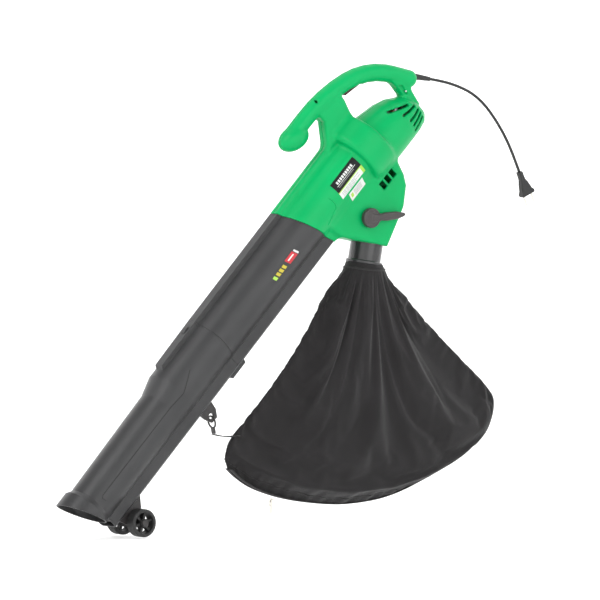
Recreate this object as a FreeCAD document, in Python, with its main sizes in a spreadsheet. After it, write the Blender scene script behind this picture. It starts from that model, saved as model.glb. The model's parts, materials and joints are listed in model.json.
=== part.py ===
import FreeCAD, Part
import math
import os
import re
import Sketcher
from FreeCAD import Placement, Rotation, Vector

# Corded leaf blower, vacuum and mulcher with a wheeled tube and a hanging dust bag.
# Two frames are used, both in millimetres:
#   tool frame  X runs along the tube from nozzle to motor, Z is square to it and up, Y is across the tool;
#               its origin is on the duct axis near the joint of the two tubes
#   row frame   X runs forward to back level with the ground, Z is up, origin in the rear grip
# Rigid parts are drawn in the tool frame and placed by TOOL; what hangs is drawn level and placed by HANG.

SIZES = {
    # attitude of the tool and place of the grip, in the tool frame
    "tilt_deg": 46, "grip_u": 583, "grip_v": 115,
    # air tube, a large suction duct over a flat blower channel
    "wall": 2.5, "duct_radius": 53, "ridge_half": 12, "ridge_top": 62,
    "channel_half": 27, "channel_low": -73, "channel_floor": 2.5, "channel_corner": 5,
    "channel_roof": -55.5, "neck_radius": 50.3, "neck_bore": 48,
    "seam_u": -12, "neck_low_u": -60, "neck_high_u": 345, "wide_low_u": -8, "wide_high_u": 262,
    "cut_top_u": 275, "cut_top_v": 63, "cut_slope_deg": 19.4, "cut_gap": 0.5,
    # lower tube stations, each a circle on the duct
    "taper_one_u": -150, "taper_two_u": -190, "taper_two_radius": 47.5, "taper_two_v": -5.5,
    "taper_end_u": -440, "taper_end_radius": 46, "taper_end_v": -8.5,
    "lip_u": -451, "lip_radius": 50.5, "lip_v": -6, "lip_end_u": -520,
    "mouth_u": -463, "mouth_v": -8, "mouth_slope_deg": 22, "ridge_end_u": -136,
    "channel_end_u": -438,
    "catch_half": 16, "catch_low": -84, "catch_start_u": -38, "catch_end_u": 12, "catch_gap": 0.5,
    # latch between the tubes
    "latch_u": -36, "latch_long": 16, "latch_wide": 12, "latch_high": 5, "latch_gap": 0.4,
    # wheels and their bracket
    "wheel_u": -396, "wheel_v": -106, "wheel_radius": 28, "wheel_wide": 24, "wheel_mid_y": 36,
    "rim_inner": 21.5, "hub_radius": 8.5, "spoke_wide": 5, "spoke_thick": 12, "spokes": 6,
    "axle_radius": 4, "axle_half": 50.5, "run_gap": 0.05, "cap_radius": 7, "cap_thick": 2.6,
    "cap_start": 48.5, "bracket_half": 21, "bracket_side": 3.5, "bracket_roof": 4, "fit_gap": 0.4,
    # housing
    "shell": 2.8, "barrel_radius": 54.2, "barrel_end_u": 500, "bore_radius": 51,
    "rib_half": 13, "rib_top": 64, "rib_end_u": 470, "keel_half": 28, "keel_low": -75, "keel_end_u": 400,
    "fan_v": 2, "fan_radius": 72, "fan_start_u": 474, "fan_end_u": 536, "fan_round": 9, "split_gap": 0.3,
    "arch_top_u": 460, "arch_top_v": 137.5, "arch_one_radius": 347, "arch_one_deg": 20.8,
    "arch_hollow_deg": 11.6,
    "arch_two_radius": 167, "arch_two_deg": 59.8, "arch_tail": 42, "arch_section": 18, "arch_bore": 15.2,
    "arm_long": 42, "bulb_u": 415, "bulb_v": 131, "bulb_long": 35.5, "bulb_high": 24, "bulb_wide": 24,
    "bulb_tilt_deg": 20, "web_half": 15, "web_round": 8, "leg_half": 13, "leg_round": 6,
    "box_half": 40, "box_round": 8, "box_inner_half": 37, "hook_half": 5,
    "vent_slot": 4.4, "window_long": 12, "window_pitch": 16, "windows": 3, "window_v": -75.5,
    "window_high": 17, "window_u": 473, "eye_u": 500, "eye_v": 147, "eye_radius": 3, "eye_boss": 7.5,
    "eye_half": 13, "screw_shank": 1.8, "screw_head": 3.4, "screw_gap": 0.3, "screw_long": 22,
    "screw_head_high": 2.4, "screw_head_y": 8, "boss_radius": 6,
    # outlet neck and its bead
    "outlet_u": 382.5, "outlet_v": -149, "outlet_tilt_deg": 33.5, "outlet_radius": 33, "outlet_in": 10,
    "outlet_out": 46, "bead_radius": 2.6, "bead_at": 40, "outlet_gap": 0.4,
    # drive line
    "shaft_v": -12, "shaft_radius": 5, "shaft_start_u": 466, "shaft_end_u": 626, "hug": 0.02,
    "impeller_radius": 52, "impeller_back_u": 512, "impeller_plate": 3, "impeller_hub": 13,
    "impeller_front_u": 488, "blade_thick": 2.4, "blade_in": 16, "blade_out": 50, "blades": 8,
    "cutter_u": 481, "cutter_thick": 2.5, "cutter_long": 64, "cutter_wide": 14, "nut_u": 472,
    "nut_thick": 8, "nut_flat": 17, "inlet_u": 477.4, "inlet_thick": 2.5, "inlet_radius": 65,
    "eye_inlet": 40, "eye_inlet_v": -8, "bulkhead_u": 528, "bulkhead_thick": 3, "bulkhead_hole": 9,
    "bulkhead_radius": 67.2,
    "bearing_one_u": 531.5, "bearing_thick": 7, "bearing_radius": 11, "cooler_u": 541, "cooler_thick": 2,
    "cooler_radius": 26, "cooler_blade": 8, "cooler_blades": 10, "stator_u": 558, "stator_long": 40,
    "stator_radius": 34, "stator_bore": 21, "armature_radius": 20.4, "commutator_u": 603,
    "commutator_long": 12, "commutator_radius": 11, "brush_in": 11.4, "brush_long": 12, "brush_wide": 6,
    "holder_wall": 1.5, "holder_in": 13.5, "bearing_two_u": 618.5, "bearing_two_radius": 9.5,
    "yoke_u": 627, "yoke_thick": 3, "yoke_half": 22, "yoke_high": 9,
    # selector
    "select_u": 407, "select_v": -94, "select_radius": 4, "select_in_y": 36, "select_out_y": -47,
    "vane_thick": 2.6, "vane_half": 35.5, "vane_up": 29, "vane_up_deg": 86, "vane_down": 40,
    "vane_down_deg": -63, "vane_hub": 7, "knob_radius": 20, "knob_near_y": -41.5, "knob_thick": 12,
    "lever_long": 80, "lever_root": 12, "lever_tip": 6.5, "lever_deg": -43, "lever_thick": 11,
    "lever_near_y": -42.5,
    # trigger
    "pin_u": 603, "pin_v": 107.5, "pin_radius": 2, "pin_half": 13.5, "trigger_half": 8,
    "trigger_slot_half": 8.8, "switch_half": 8, "spring_x": 6, "spring_z": -0.6, "spring_coil": 2.4,
    "spring_wire": 0.45, "spring_pitch": 2.7, "spring_long": 16.2,
    "clamp_long": 12, "clamp_wide": 16, "clamp_high": 12, "clamp_gap": 0.2,
    "capacitor_radius": 6.5, "capacitor_long": 20,
    # cord and plug, drawn level
    "relief_flange": 8.2, "relief_flange_long": 3, "relief_root": 6.6, "relief_tip": 4.4,
    "relief_long": 46, "relief_in": 8, "cord_radius": 2.9, "plug_pin_radius": 2.2, "plug_pin_long": 19,
    "plug_pin_apart": 19, "plug_long": 50, "plug_back": 4.2, "plug_face_half": 16, "plug_face_thick": 7,
    # bag, drawn level
    "bag_centre_x": 306, "bag_centre_z": 221, "bag_radius": 570, "bag_gap": 1.0,
    "bag_cloth": 2, "bag_inset": 0.012,
    "bag_layer1": 28, "bag_layer2": 54, "bag_layer3": 72, "bag_shrink1": 0.965, "bag_shrink2": 0.86,
    "bag_shrink3": 0.62, "bag_mid_x": 340, "bag_mid_z": -150, "strap_low_x": 50, "strap_low_z": -192,
    "tape_half": 12, "tape_thick": 2, "tape_gap": 0.5, "tape_from_deg": 247, "tape_to_deg": 304,
    "slider_deg": 253.2, "slider_long": 12, "slider_wide": 10, "slider_thick": 3.2,
    "pull_long": 26, "pull_wide": 7, "pull_thick": 1.6, "pull_hole": 2.2, "pull_pin": 1.5,
    # hook bracket and snap hook
    "lug_u": -118, "lug_v": -104, "lug_hole": 6, "lug_half": 2.6, "lug_base_half": 12,
    "hook_radius": 12, "hook_wire": 1.9, "hook_gate_from": 198, "hook_gate_to": 234, "hook_slit_deg": 3,
    "hook_shank": 12, "strap_wide": 18, "strap_thick": 1.6, "strap_gap": 1.9,
    # labels
    "label_gap": 0.3, "label_thick": 0.4,
}

# Outlines in the tool frame as (u, v) corners, stored in the sheet as NAME_u1, NAME_v1 and so on.
OUTLINES = {
    "web": [(447, 58), (484, 104), (484, 140), (552, 126), (549, 98), (538, 62), (500, 58)],
    "web_hollow": [(497, 84), (497, 124), (541, 120), (537, 84)],
    "leg": [(655, 36), (684, 12), (674, -14), (668, -44), (640, -38), (652, 2)],
    "spike": [(650, 17), (657, 14), (656, -10), (651, -6)],
    "box": [(335, -38), (335, -75), (398, -171), (458, -153), (483, -145), (518, -120), (530, -100),
            (541, -62), (541, -38)],
    "box_hollow": [(402, -57.5), (402, -79), (347, -79), (400, -166.5), (457, -150), (481, -142),
                   (515, -117.5), (526.5, -98), (535, -66), (500, -57.5)],
    "bracket": [(-352, -73.4), (-386, -114), (-400, -117), (-410, -106), (-422, -73.4)],
    "lug_plate": [(-96, -77), (-100, -102), (-110, -116), (-126, -115), (-133, -98), (-136, -77)],
    "trigger": [(557.5, 117), (598, 104), (606, 111.5), (608, 106), (600, 98.5), (594, 91.5),
                (559, 100.5)],
    "switch": [(560, 126), (562, 134), (583, 128), (581, 121)],
    "trigger_slot": [(556, 112), (556, 95), (604, 80), (604, 104)],
    "bag_side": [(330, 140), (323, 133), (305, 112), (289, 91), (256, 47), (191, -44), (126, -122),
                 (77, -170), (41, -204), (26, -238), (28, -260), (49, -283), (94, -308), (167, -332),
                 (256, -346), (330, -348), (427, -336), (533, -301), (614, -259), (655, -221),
                 (681, -184), (688, -154), (678, -134), (574, -46), (492, 31), (444, 79), (419, 107),
                 (408, 121), (401, 129)],
}

# Louvre slots of the motor cover as (front u, front v, rear u, rear v).
LOUVRES = [(592, 15, 637, -12), (607, -11, 646, -25), (611, -30, 646, -35), (611, -43, 644, -43),
           (609, -55, 641, -52)]

# Circles of the motor cover as (u, v, radius).
MOTOR_STATIONS = [(528, -16, 61), (560, -20, 58.5), (600, -26, 53.5), (625, -32, 48), (645, -39, 39),
                  (657, -45, 27), (663, -50, 13)]

# Screws of the housing as (u, v).
SCREWS = [(466, 137), (480, 78), (545, 110), (662, 0), (412, -152), (505, -108)]

# Cord route level with the ground, from the relief's end to the plug's back, as (x, z).
CORD_ROUTE = [(527.4, 498.0), (558, 492.9), (598, 481.5), (634, 465.5), (663, 443.0), (690, 412.0),
              (714, 377.5), (734, 340.0), (750, 303.0)]

NAMES = {}
PARTS = []

doc = FreeCAD.newDocument("LeafBlower")
sheet = doc.addObject("Spreadsheet::Sheet", "Sizes")


def fill_sheet():
    """Writes every driving size into the sheet under its own alias."""
    rows = dict(SIZES)
    for name, corners in OUTLINES.items():
        for index, (u, v) in enumerate(corners, 1):
            rows[f"{name}_u{index}"] = u
            rows[f"{name}_v{index}"] = v
    for index, (front_u, front_v, rear_u, rear_v) in enumerate(LOUVRES, 1):
        rows[f"louvre_front_u{index}"] = front_u
        rows[f"louvre_front_v{index}"] = front_v
        rows[f"louvre_rear_u{index}"] = rear_u
        rows[f"louvre_rear_v{index}"] = rear_v
    for index, (u, v, radius) in enumerate(MOTOR_STATIONS, 1):
        rows[f"motor_u{index}"] = u
        rows[f"motor_v{index}"] = v
        rows[f"motor_radius{index}"] = radius
    for index, (u, v) in enumerate(SCREWS, 1):
        rows[f"screw_u{index}"] = u
        rows[f"screw_v{index}"] = v
    for index, (x, z) in enumerate(CORD_ROUTE, 1):
        rows[f"cord_x{index}"] = x
        rows[f"cord_z{index}"] = z
    for line, (name, value) in enumerate(rows.items(), 1):
        sheet.set(f"A{line}", name)
        sheet.set(f"B{line}", str(value))
        sheet.setAlias(f"B{line}", name)
        NAMES[name] = value
    doc.recompute()


def linked(text):
    """Turns plain size names in an expression into references to the sheet."""
    return re.sub(r"[A-Za-z_]\w*", lambda found: "Sizes." + found.group(0) if found.group(0) in NAMES
                  else found.group(0), str(text))


def size(name):
    return float(getattr(sheet, name))


def bind(item, **properties):
    """Binds properties of an object to expressions over the sheet; dots are written as two underscores."""
    for name, text in properties.items():
        item.setExpression(name.replace("__", "."), linked(text))
    return item


fill_sheet()
TILT = size("tilt_deg")
GRIP = Rotation(Vector(0, 1, 0), -TILT).multVec(Vector(size("grip_u"), 0, size("grip_v")))
TOOL = Placement(GRIP.negative(), Rotation(Vector(0, 1, 0), -TILT))
HANG = Placement(GRIP.negative(), Rotation())


def keep(label, item, frame=TOOL, local=Placement()):
    """Names a finished sub-part, places it and lists it for export."""
    item.Label = label
    item.Placement = frame.multiply(local)
    PARTS.append(item)
    return item


# ---------------------------------------------------------------- drawing helpers


def origin_plane(body, role):
    for feature in body.Origin.OriginFeatures:
        if feature.Role == role:
            return feature
    raise ValueError(role)


def sketch_on(body, role, name, offset="0"):
    """A sketch on one of the body's own planes, moved along the plane's normal by an expression."""
    sketch = body.newObject("Sketcher::SketchObject", name)
    sketch.AttachmentSupport = [(origin_plane(body, role), "")]
    sketch.MapMode = "FlatFace"
    sketch.setExpression("AttachmentOffset.Base.z", linked(offset))
    return sketch


def add_circle(sketch, radius, along="0", up="0"):
    index = sketch.addGeometry(Part.Circle(Vector(0, 0, 0), Vector(0, 0, 1), 10.0))
    tag = f"c{index}"
    for kind, text, end in (("DistanceX", along, "x"), ("DistanceY", up, "y")):
        number = sketch.addConstraint(Sketcher.Constraint(kind, -1, 1, index, 3, 0.0))
        sketch.renameConstraint(number, tag + end)
        sketch.setExpression("Constraints." + tag + end, linked(text))
    number = sketch.addConstraint(Sketcher.Constraint("Radius", index, 10.0))
    sketch.renameConstraint(number, tag + "radius")
    sketch.setExpression("Constraints." + tag + "radius", linked(radius))
    return index


def add_polygon(sketch, corners):
    """A closed outline; corners are (across, up) expressions, each corner held by two named distances."""
    values = []
    for across, up in corners:
        values.append(Vector(evaluate(across), evaluate(up), 0))
    first = sketch.GeometryCount
    count = len(values)
    for index in range(count):
        sketch.addGeometry(Part.LineSegment(values[index], values[(index + 1) % count]))
    for index in range(count):
        here = first + index
        sketch.addConstraint(Sketcher.Constraint("Coincident", here, 2, first + (index + 1) % count, 1))
    for index, (across, up) in enumerate(corners):
        for kind, text, value in (("DistanceX", across, values[index].x), ("DistanceY", up, values[index].y)):
            number = sketch.addConstraint(Sketcher.Constraint(kind, -1, 1, first + index, 1, value))
            tag = f"p{first + index}{kind[-1].lower()}"
            sketch.renameConstraint(number, tag)
            sketch.setExpression("Constraints." + tag, linked(text))


def evaluate(text):
    """Value of an arithmetic expression over the sheet, for a sketch's first guess."""
    probe = sheet.evalExpression(linked(text))
    return float(probe)


def rectangle(left, low, right, high):
    return [(left, low), (right, low), (right, high), (left, high)]


def outline(name):
    return [(f"{name}_u{index}", f"{name}_v{index}") for index in range(1, len(OUTLINES[name]) + 1)]


def pad(body, sketch, length, midplane=False, reverse=False):
    feature = body.newObject("PartDesign::Pad", sketch.Name + "_pad")
    feature.Profile = sketch
    feature.setExpression("Length", linked(length))
    if midplane:
        feature.SideType = "Symmetric"
    feature.Reversed = reverse
    sketch.Visibility = False
    return feature


def pocket(body, sketch, length, midplane=False, reverse=False):
    """Cuts along the sketch's own normal turned round, or along it when reverse is set."""
    feature = body.newObject("PartDesign::Pocket", sketch.Name + "_pocket")
    feature.Profile = sketch
    feature.setExpression("Length", linked(length))
    if midplane:
        feature.SideType = "Symmetric"
    feature.Reversed = reverse
    sketch.Visibility = False
    return feature


def new_body(name):
    return doc.addObject("PartDesign::Body", name)


def plate(name, corners, thick, role="XZ_Plane", offset="0", midplane=True, reverse=False):
    """A body padded from one outline."""
    body = new_body(name)
    sketch = sketch_on(body, role, name + "_outline", offset)
    add_polygon(sketch, corners)
    pad(body, sketch, thick, midplane, reverse)
    return body


def rod(name, radius, start, length, along="u", u="0", y="0", v="0"):
    """A cylinder along the tube (u) or across it (y), starting at start."""
    item = doc.addObject("Part::Cylinder", name)
    bind(item, Radius=radius, Height=length)
    if along == "u":
        item.Placement = Placement(Vector(), Rotation(Vector(0, 1, 0), 90))
        bind(item, Placement__Base__x=start, Placement__Base__y=y, Placement__Base__z=v)
    else:
        item.Placement = Placement(Vector(), Rotation(Vector(1, 0, 0), -90))
        bind(item, Placement__Base__x=u, Placement__Base__y=start, Placement__Base__z=v)
    return item


def block(name, low, high):
    """A box between two corners given as expressions (u, y, v)."""
    item = doc.addObject("Part::Box", name)
    bind(item, Length=f"({high[0]}) - ({low[0]})", Width=f"({high[1]}) - ({low[1]})",
         Height=f"({high[2]}) - ({low[2]})")
    bind(item, Placement__Base__x=low[0], Placement__Base__y=low[1], Placement__Base__z=low[2])
    return item


def joined(name, items):
    item = doc.addObject("Part::MultiFuse", name)
    item.Shapes = items
    item.Refine = True
    return item


def less(name, base, tool):
    item = doc.addObject("Part::Cut", name)
    item.Base = base
    item.Tool = tool
    item.Refine = True
    return item


def shared(name, items):
    item = doc.addObject("Part::MultiCommon", name)
    item.Shapes = items
    return item


def rounded(name, base, radius, wanted):
    """Rounds the edges of base for which wanted(edge) is true."""
    doc.recompute()
    item = doc.addObject("Part::Fillet", name)
    item.Base = base
    value = evaluate(radius)
    item.Edges = [(index, value, value) for index, edge in enumerate(base.Shape.Edges, 1) if wanted(edge)]
    return item


def is_rim(edge):
    """True for an outline edge lying in a plane square to Y."""
    box = edge.BoundBox
    return box.YLength < 1e-6


def body_round(body, radius, wanted):
    """A PartDesign fillet on the tip's edges for which wanted(edge) is true."""
    doc.recompute()
    tip = body.Tip
    names = [f"Edge{index}" for index, edge in enumerate(tip.Shape.Edges, 1) if wanted(edge)]
    feature = body.newObject("PartDesign::Fillet", body.Name + "_round")
    feature.Base = (tip, names)
    feature.setExpression("Radius", linked(radius))
    return feature


# ---------------------------------------------------------------- air tube


def tube_profile(body, name, start, length):
    """Pads the duct, the top ridge and the flat channel of one tube section."""
    duct = sketch_on(body, "YZ_Plane", name + "_duct", start)
    add_circle(duct, "duct_radius")
    pad(body, duct, length)
    ridge = sketch_on(body, "YZ_Plane", name + "_ridge", start)
    add_polygon(ridge, rectangle("-ridge_half", "ridge_top - 22", "ridge_half", "ridge_top"))
    pad(body, ridge, length)
    add_channel(body, name, start, length)


def add_channel(body, name, start, length):
    channel = sketch_on(body, "YZ_Plane", name + "_channel", start)
    edge = "channel_half - channel_corner"
    add_polygon(channel, [(f"-({edge})", "channel_low"), (edge, "channel_low"),
                          ("channel_half", "channel_low + channel_corner"), ("channel_half", "-40"),
                          ("-channel_half", "-40"), ("-channel_half", "channel_low + channel_corner")])
    pad(body, channel, length)


def clear_channel(body, name, start, length):
    """Hollows the blower channel below the duct's own wall."""
    inner = sketch_on(body, "YZ_Plane", name + "_hollow", start)
    half = "channel_half - wall"
    floor = "channel_low + channel_floor"
    add_polygon(inner, [(f"-({half} - channel_corner)", floor), (f"{half} - channel_corner", floor),
                        (half, f"{floor} + channel_corner"), (half, "channel_roof"),
                        (f"-({half})", "channel_roof"), (f"-({half})", f"{floor} + channel_corner")])
    return pocket(body, inner, length, reverse=True)


def cut_above_line(body, name, at_u, at_v, slope, past):
    """Removes everything beyond a slanted plane through (at_u, at_v); past is +1 or -1 along u."""
    rise = f"tan({slope} * 1 deg)"
    top = f"{at_u} + ({at_v}) * ({rise}) - 150 * ({rise})"
    low = f"{at_u} + ({at_v}) * ({rise}) + 150 * ({rise})"
    away = f"({past}) * 400"
    sketch = sketch_on(body, "XZ_Plane", name)
    add_polygon(sketch, [(low, "-150"), (f"{at_u} + {away}", "-150"), (f"{at_u} + {away}", "150"),
                         (top, "150")])
    return pocket(body, sketch, "400", midplane=True)


def upper_tube():
    body = new_body("upper_tube")
    tube_profile(body, "upper", "seam_u", "340 - seam_u")
    cut_above_line(body, "upper_cut", "cut_top_u - cut_gap", "cut_top_v", "cut_slope_deg", "1")
    neck = sketch_on(body, "YZ_Plane", "upper_neck", "neck_low_u")
    add_circle(neck, "neck_radius")
    pad(body, neck, "neck_high_u - neck_low_u")
    bore = sketch_on(body, "YZ_Plane", "upper_bore", "neck_low_u - 1")
    add_circle(bore, "neck_bore")
    pocket(body, bore, "neck_high_u - neck_low_u + 2", reverse=True)
    wide = sketch_on(body, "YZ_Plane", "upper_wide", "wide_low_u")
    add_circle(wide, "duct_radius - wall")
    pocket(body, wide, "wide_high_u - wide_low_u", reverse=True)
    clear_channel(body, "upper", "seam_u - 1", "400")
    keep("upper_tube", body)


def duct_loft(body, name, stations, cut=False):
    """A loft through circles standing on the duct."""
    sketches = []
    for index, (at_u, radius, at_v) in enumerate(stations, 1):
        sketch = sketch_on(body, "YZ_Plane", f"{name}{index}", at_u)
        add_circle(sketch, radius, "0", at_v)
        sketch.Visibility = False
        sketches.append(sketch)
    kind = "PartDesign::SubtractiveLoft" if cut else "PartDesign::AdditiveLoft"
    feature = body.newObject(kind, name + "_loft")
    feature.Profile = sketches[0]
    feature.Sections = sketches[1:]
    feature.Ruled = True
    return feature


def lower_tube():
    body = new_body("lower_tube")
    outside = [("seam_u - cut_gap", "duct_radius", "0"), ("taper_one_u", "duct_radius", "0"),
               ("taper_two_u", "taper_two_radius", "taper_two_v"),
               ("taper_end_u", "taper_end_radius", "taper_end_v"),
               ("lip_u", "lip_radius", "lip_v"), ("lip_end_u", "lip_radius", "lip_v")]
    duct_loft(body, "lower_outside", outside)
    cut_above_line(body, "lower_mouth", "mouth_u", "mouth_v", "mouth_slope_deg", "-1")
    ridge = sketch_on(body, "XZ_Plane", "lower_ridge")
    start = "seam_u - cut_gap"
    add_polygon(ridge, [(start, "30"), (start, "ridge_top"), ("ridge_end_u + 8", "ridge_top - 1.5"),
                        ("ridge_end_u", "taper_two_radius"), ("ridge_end_u", "30")])
    pad(body, ridge, "2 * ridge_half", True)
    add_channel(body, "lower", "channel_end_u", "seam_u - cut_gap - channel_end_u")
    catch = sketch_on(body, "XZ_Plane", "lower_catch")
    low = "channel_low - catch_gap"
    add_polygon(catch, [("catch_start_u", "channel_low + 1"), (start, "channel_low + 1"), (start, low),
                        ("catch_end_u", low), ("catch_end_u - 3", "catch_low"),
                        ("catch_start_u + 4", "catch_low")])
    pad(body, catch, "2 * catch_half", True)
    inside = [(at_u, f"{radius} - wall", at_v) for at_u, radius, at_v in outside[1:]]
    inside = [("neck_low_u - 6", "duct_radius - wall", "0")] + inside
    duct_loft(body, "lower_inside", inside, cut=True)
    socket = sketch_on(body, "YZ_Plane", "lower_socket", "neck_low_u - 7")
    add_circle(socket, "neck_radius + clamp_gap")
    pocket(body, socket, "80", reverse=True)
    clear_channel(body, "lower", "-510", "520")
    slot = sketch_on(body, "XY_Plane", "lower_latch_slot", "ridge_top - latch_high")
    gap = "latch_gap"
    add_polygon(slot, rectangle(f"latch_u - latch_long / 2 - {gap}", f"-(latch_wide / 2 + {gap})",
                                f"latch_u + latch_long / 2 + {gap}", f"latch_wide / 2 + {gap}"))
    pocket(body, slot, "latch_high + 5", reverse=True)
    keep("lower_tube", body)


def tube_latch():
    low = "ridge_top - latch_high + 2.5"
    body = plate("tube_latch", [("latch_u - latch_long / 2", low), ("latch_u + latch_long / 2", low),
                                ("latch_u + latch_long / 2", "ridge_top + 2"),
                                ("latch_u + latch_long / 2 - 6", "ridge_top + 2.6"),
                                ("latch_u - latch_long / 2", "ridge_top + 0.5")], "latch_wide")
    keep("tube_latch", body)


def wheel_bracket():
    body = plate("wheel_bracket", outline("bracket"), "2 * bracket_half")
    gap = sketch_on(body, "XZ_Plane", "bracket_gap")
    roof = "channel_low - fit_gap - bracket_roof"
    add_polygon(gap, [("-480", roof), ("-480", "-200"), ("-300", "-200"), ("-300", roof)])
    pocket(body, gap, "2 * (bracket_half - bracket_side)", midplane=True)
    hole = sketch_on(body, "XZ_Plane", "bracket_hole")
    add_circle(hole, "axle_radius + hug", "wheel_u", "wheel_v")
    pocket(body, hole, "100", midplane=True)
    keep("wheel_bracket", body)


def wheel(label, side):
    """A spoked wheel on the axle; side is +1 or -1 across the tool."""
    body = new_body(label)
    rim = sketch_on(body, "XZ_Plane", label + "_rim")
    add_circle(rim, "wheel_radius")
    add_circle(rim, "rim_inner")
    pad(body, rim, "wheel_wide", True)
    body_round(body, "2.5", lambda edge: abs(edge.BoundBox.XLength - 2 * size("wheel_radius")) < 0.01)
    spoke = sketch_on(body, "XZ_Plane", label + "_spoke")
    add_polygon(spoke, rectangle("-spoke_wide / 2", "hub_radius - 2", "spoke_wide / 2", "rim_inner + 1"))
    first = pad(body, spoke, "spoke_thick", True)
    turn = body.newObject("PartDesign::PolarPattern", label + "_spokes")
    turn.Originals = [first]
    turn.Axis = (origin_plane(body, "Y_Axis"), [""])
    turn.Angle = 360
    turn.setExpression("Occurrences", linked("spokes"))
    body.Tip = turn
    hub = sketch_on(body, "XZ_Plane", label + "_hub")
    add_circle(hub, "hub_radius")
    pad(body, hub, "wheel_wide", True)
    bore = sketch_on(body, "XZ_Plane", label + "_bore")
    add_circle(bore, "axle_radius + run_gap")
    pocket(body, bore, "wheel_wide + 4", midplane=True)
    place = Vector(size("wheel_u"), side * size("wheel_mid_y"), size("wheel_v"))
    keep(label, body, local=Placement(place, Rotation()))


def running_gear():
    wheel_bracket()
    wheel("wheel_left", -1)
    wheel("wheel_right", 1)
    axle = new_body("wheel_axle")
    sketch = sketch_on(axle, "XZ_Plane", "axle_section")
    add_circle(sketch, "axle_radius", "wheel_u", "wheel_v")
    pad(axle, sketch, "2 * axle_half", True)
    keep("wheel_axle", axle)
    caps = []
    for name, start in (("cap_near", "-cap_start - cap_thick"), ("cap_far", "cap_start")):
        disc = rod(name, "cap_radius", start, "cap_thick", "y", u="wheel_u", v="wheel_v")
        shaft = rod(name + "_seat", "axle_radius + hug", "-axle_half - hug", "2 * (axle_half + hug)", "y",
                    u="wheel_u", v="wheel_v")
        caps.append(less(name + "_bored", disc, shaft))
    keep("axle_caps", joined("axle_caps", caps))


# ---------------------------------------------------------------- housing


def arch_pieces(name, radius, first_sweep):
    """The grip's round bar: two bends and a straight tail, all of one radius."""
    one = math.radians(size("arch_one_deg"))
    two = math.radians(size("arch_two_deg"))
    centre_one = Vector(size("arch_top_u"), 0, size("arch_top_v") - size("arch_one_radius"))
    meet = centre_one + Vector(math.sin(one), 0, math.cos(one)) * size("arch_one_radius")
    centre_two = meet - Vector(math.sin(one), 0, math.cos(one)) * size("arch_two_radius")
    last = centre_two + Vector(math.sin(two), 0, math.cos(two)) * size("arch_two_radius")
    pieces = []
    bends = (("front", centre_one, "arch_one_radius", first_sweep, "90 - arch_one_deg"),
             ("rear", centre_two, "arch_two_radius", "arch_two_deg - arch_one_deg", "90 - arch_two_deg"))
    for tag, centre, bend, sweep, start in bends:
        piece = doc.addObject("Part::Torus", f"{name}_{tag}")
        bind(piece, Radius1=bend, Radius2=radius, Angle3=sweep)
        stand = Rotation(Vector(1, 0, 0), 90).multiply(Rotation(Vector(0, 0, 1), evaluate(start)))
        piece.Placement = Placement(centre, stand)
        pieces.append(piece)
    tail = doc.addObject("Part::Cylinder", name + "_tail")
    bind(tail, Radius=radius, Height="arch_tail")
    way = Vector(math.cos(two), 0, -math.sin(two))
    tail.Placement = Placement(last, Rotation(Vector(0, 0, 1), way))
    pieces.append(tail)
    return pieces, last + way * size("arch_tail"), way


def motor_loft(name, thinner, start_index):
    """The tapering motor cover as a loft through circles; thinner is taken off each radius."""
    rings = []
    for index in range(start_index, len(MOTOR_STATIONS) + 1):
        ring = doc.addObject("Part::Circle", f"{name}_ring{index}")
        bind(ring, Radius=f"motor_radius{index} - {thinner}")
        ring.Placement = Placement(Vector(), Rotation(Vector(0, 1, 0), 90))
        shift = "0" if thinner == "0" or index < len(MOTOR_STATIONS) else "shell"
        bind(ring, Placement__Base__x=f"motor_u{index} - {shift}", Placement__Base__z=f"motor_v{index}")
        rings.append(ring)
    loft = doc.addObject("Part::Loft", name)
    loft.Sections = rings
    loft.Solid = True
    loft.Ruled = False
    return loft


def housing_outside():
    barrel = rod("barrel", "barrel_radius", "262", "barrel_end_u - 262")
    rib = block("rib", ("262", "-rib_half", "40"), ("rib_end_u", "rib_half", "rib_top"))
    keel = block("keel", ("262", "-keel_half", "keel_low"), ("keel_end_u", "keel_half", "-30"))
    keel = rounded("keel_rounded", keel, "channel_corner",
                   lambda edge: edge.BoundBox.XLength > 50 and edge.BoundBox.ZMax < -60)
    fan = rod("fan_case", "fan_radius", "fan_start_u", "fan_end_u - fan_start_u", v="fan_v")
    fan = rounded("fan_case_rounded", fan, "fan_round", lambda edge: edge.BoundBox.XLength < 1e-6)
    cover = motor_loft("motor_cover", "0", 1)
    web = plate("web_block", outline("web"), "2 * web_half")
    body_round(web, "web_round", lambda edge: is_rim(edge) and edge.BoundBox.ZMax < 120
               and edge.BoundBox.ZLength > 25)
    leg = plate("leg_block", outline("leg"), "2 * leg_half")
    body_round(leg, "leg_round", is_rim)
    box = plate("box_block", outline("box"), "2 * box_half")
    body_round(box, "box_round", lambda edge: is_rim(edge) and edge.BoundBox.ZMax < -60)
    spike = plate("spike_block", outline("spike"), "2 * hook_half")
    bulb = doc.addObject("Part::Ellipsoid", "bulb")
    bind(bulb, Radius1="bulb_high", Radius2="bulb_long", Radius3="bulb_wide")
    bulb.Placement = Placement(Vector(), Rotation(Vector(0, 1, 0), size("bulb_tilt_deg")))
    bind(bulb, Placement__Base__x="bulb_u", Placement__Base__z="bulb_v")
    eye = rod("eye_boss", "eye_boss", "-eye_half", "2 * eye_half", "y", u="eye_u", v="eye_v")
    arch, end, way = arch_pieces("arch", "arch_section", "arch_one_deg")
    arm = rod("arm", "arch_section", "arch_top_u - arm_long", "arm_long", v="arch_top_v")
    solids = [barrel, rib, keel, fan, cover, web, leg, box, spike, bulb, eye, arm] + arch
    return joined("housing_outside", solids), end, way


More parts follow.
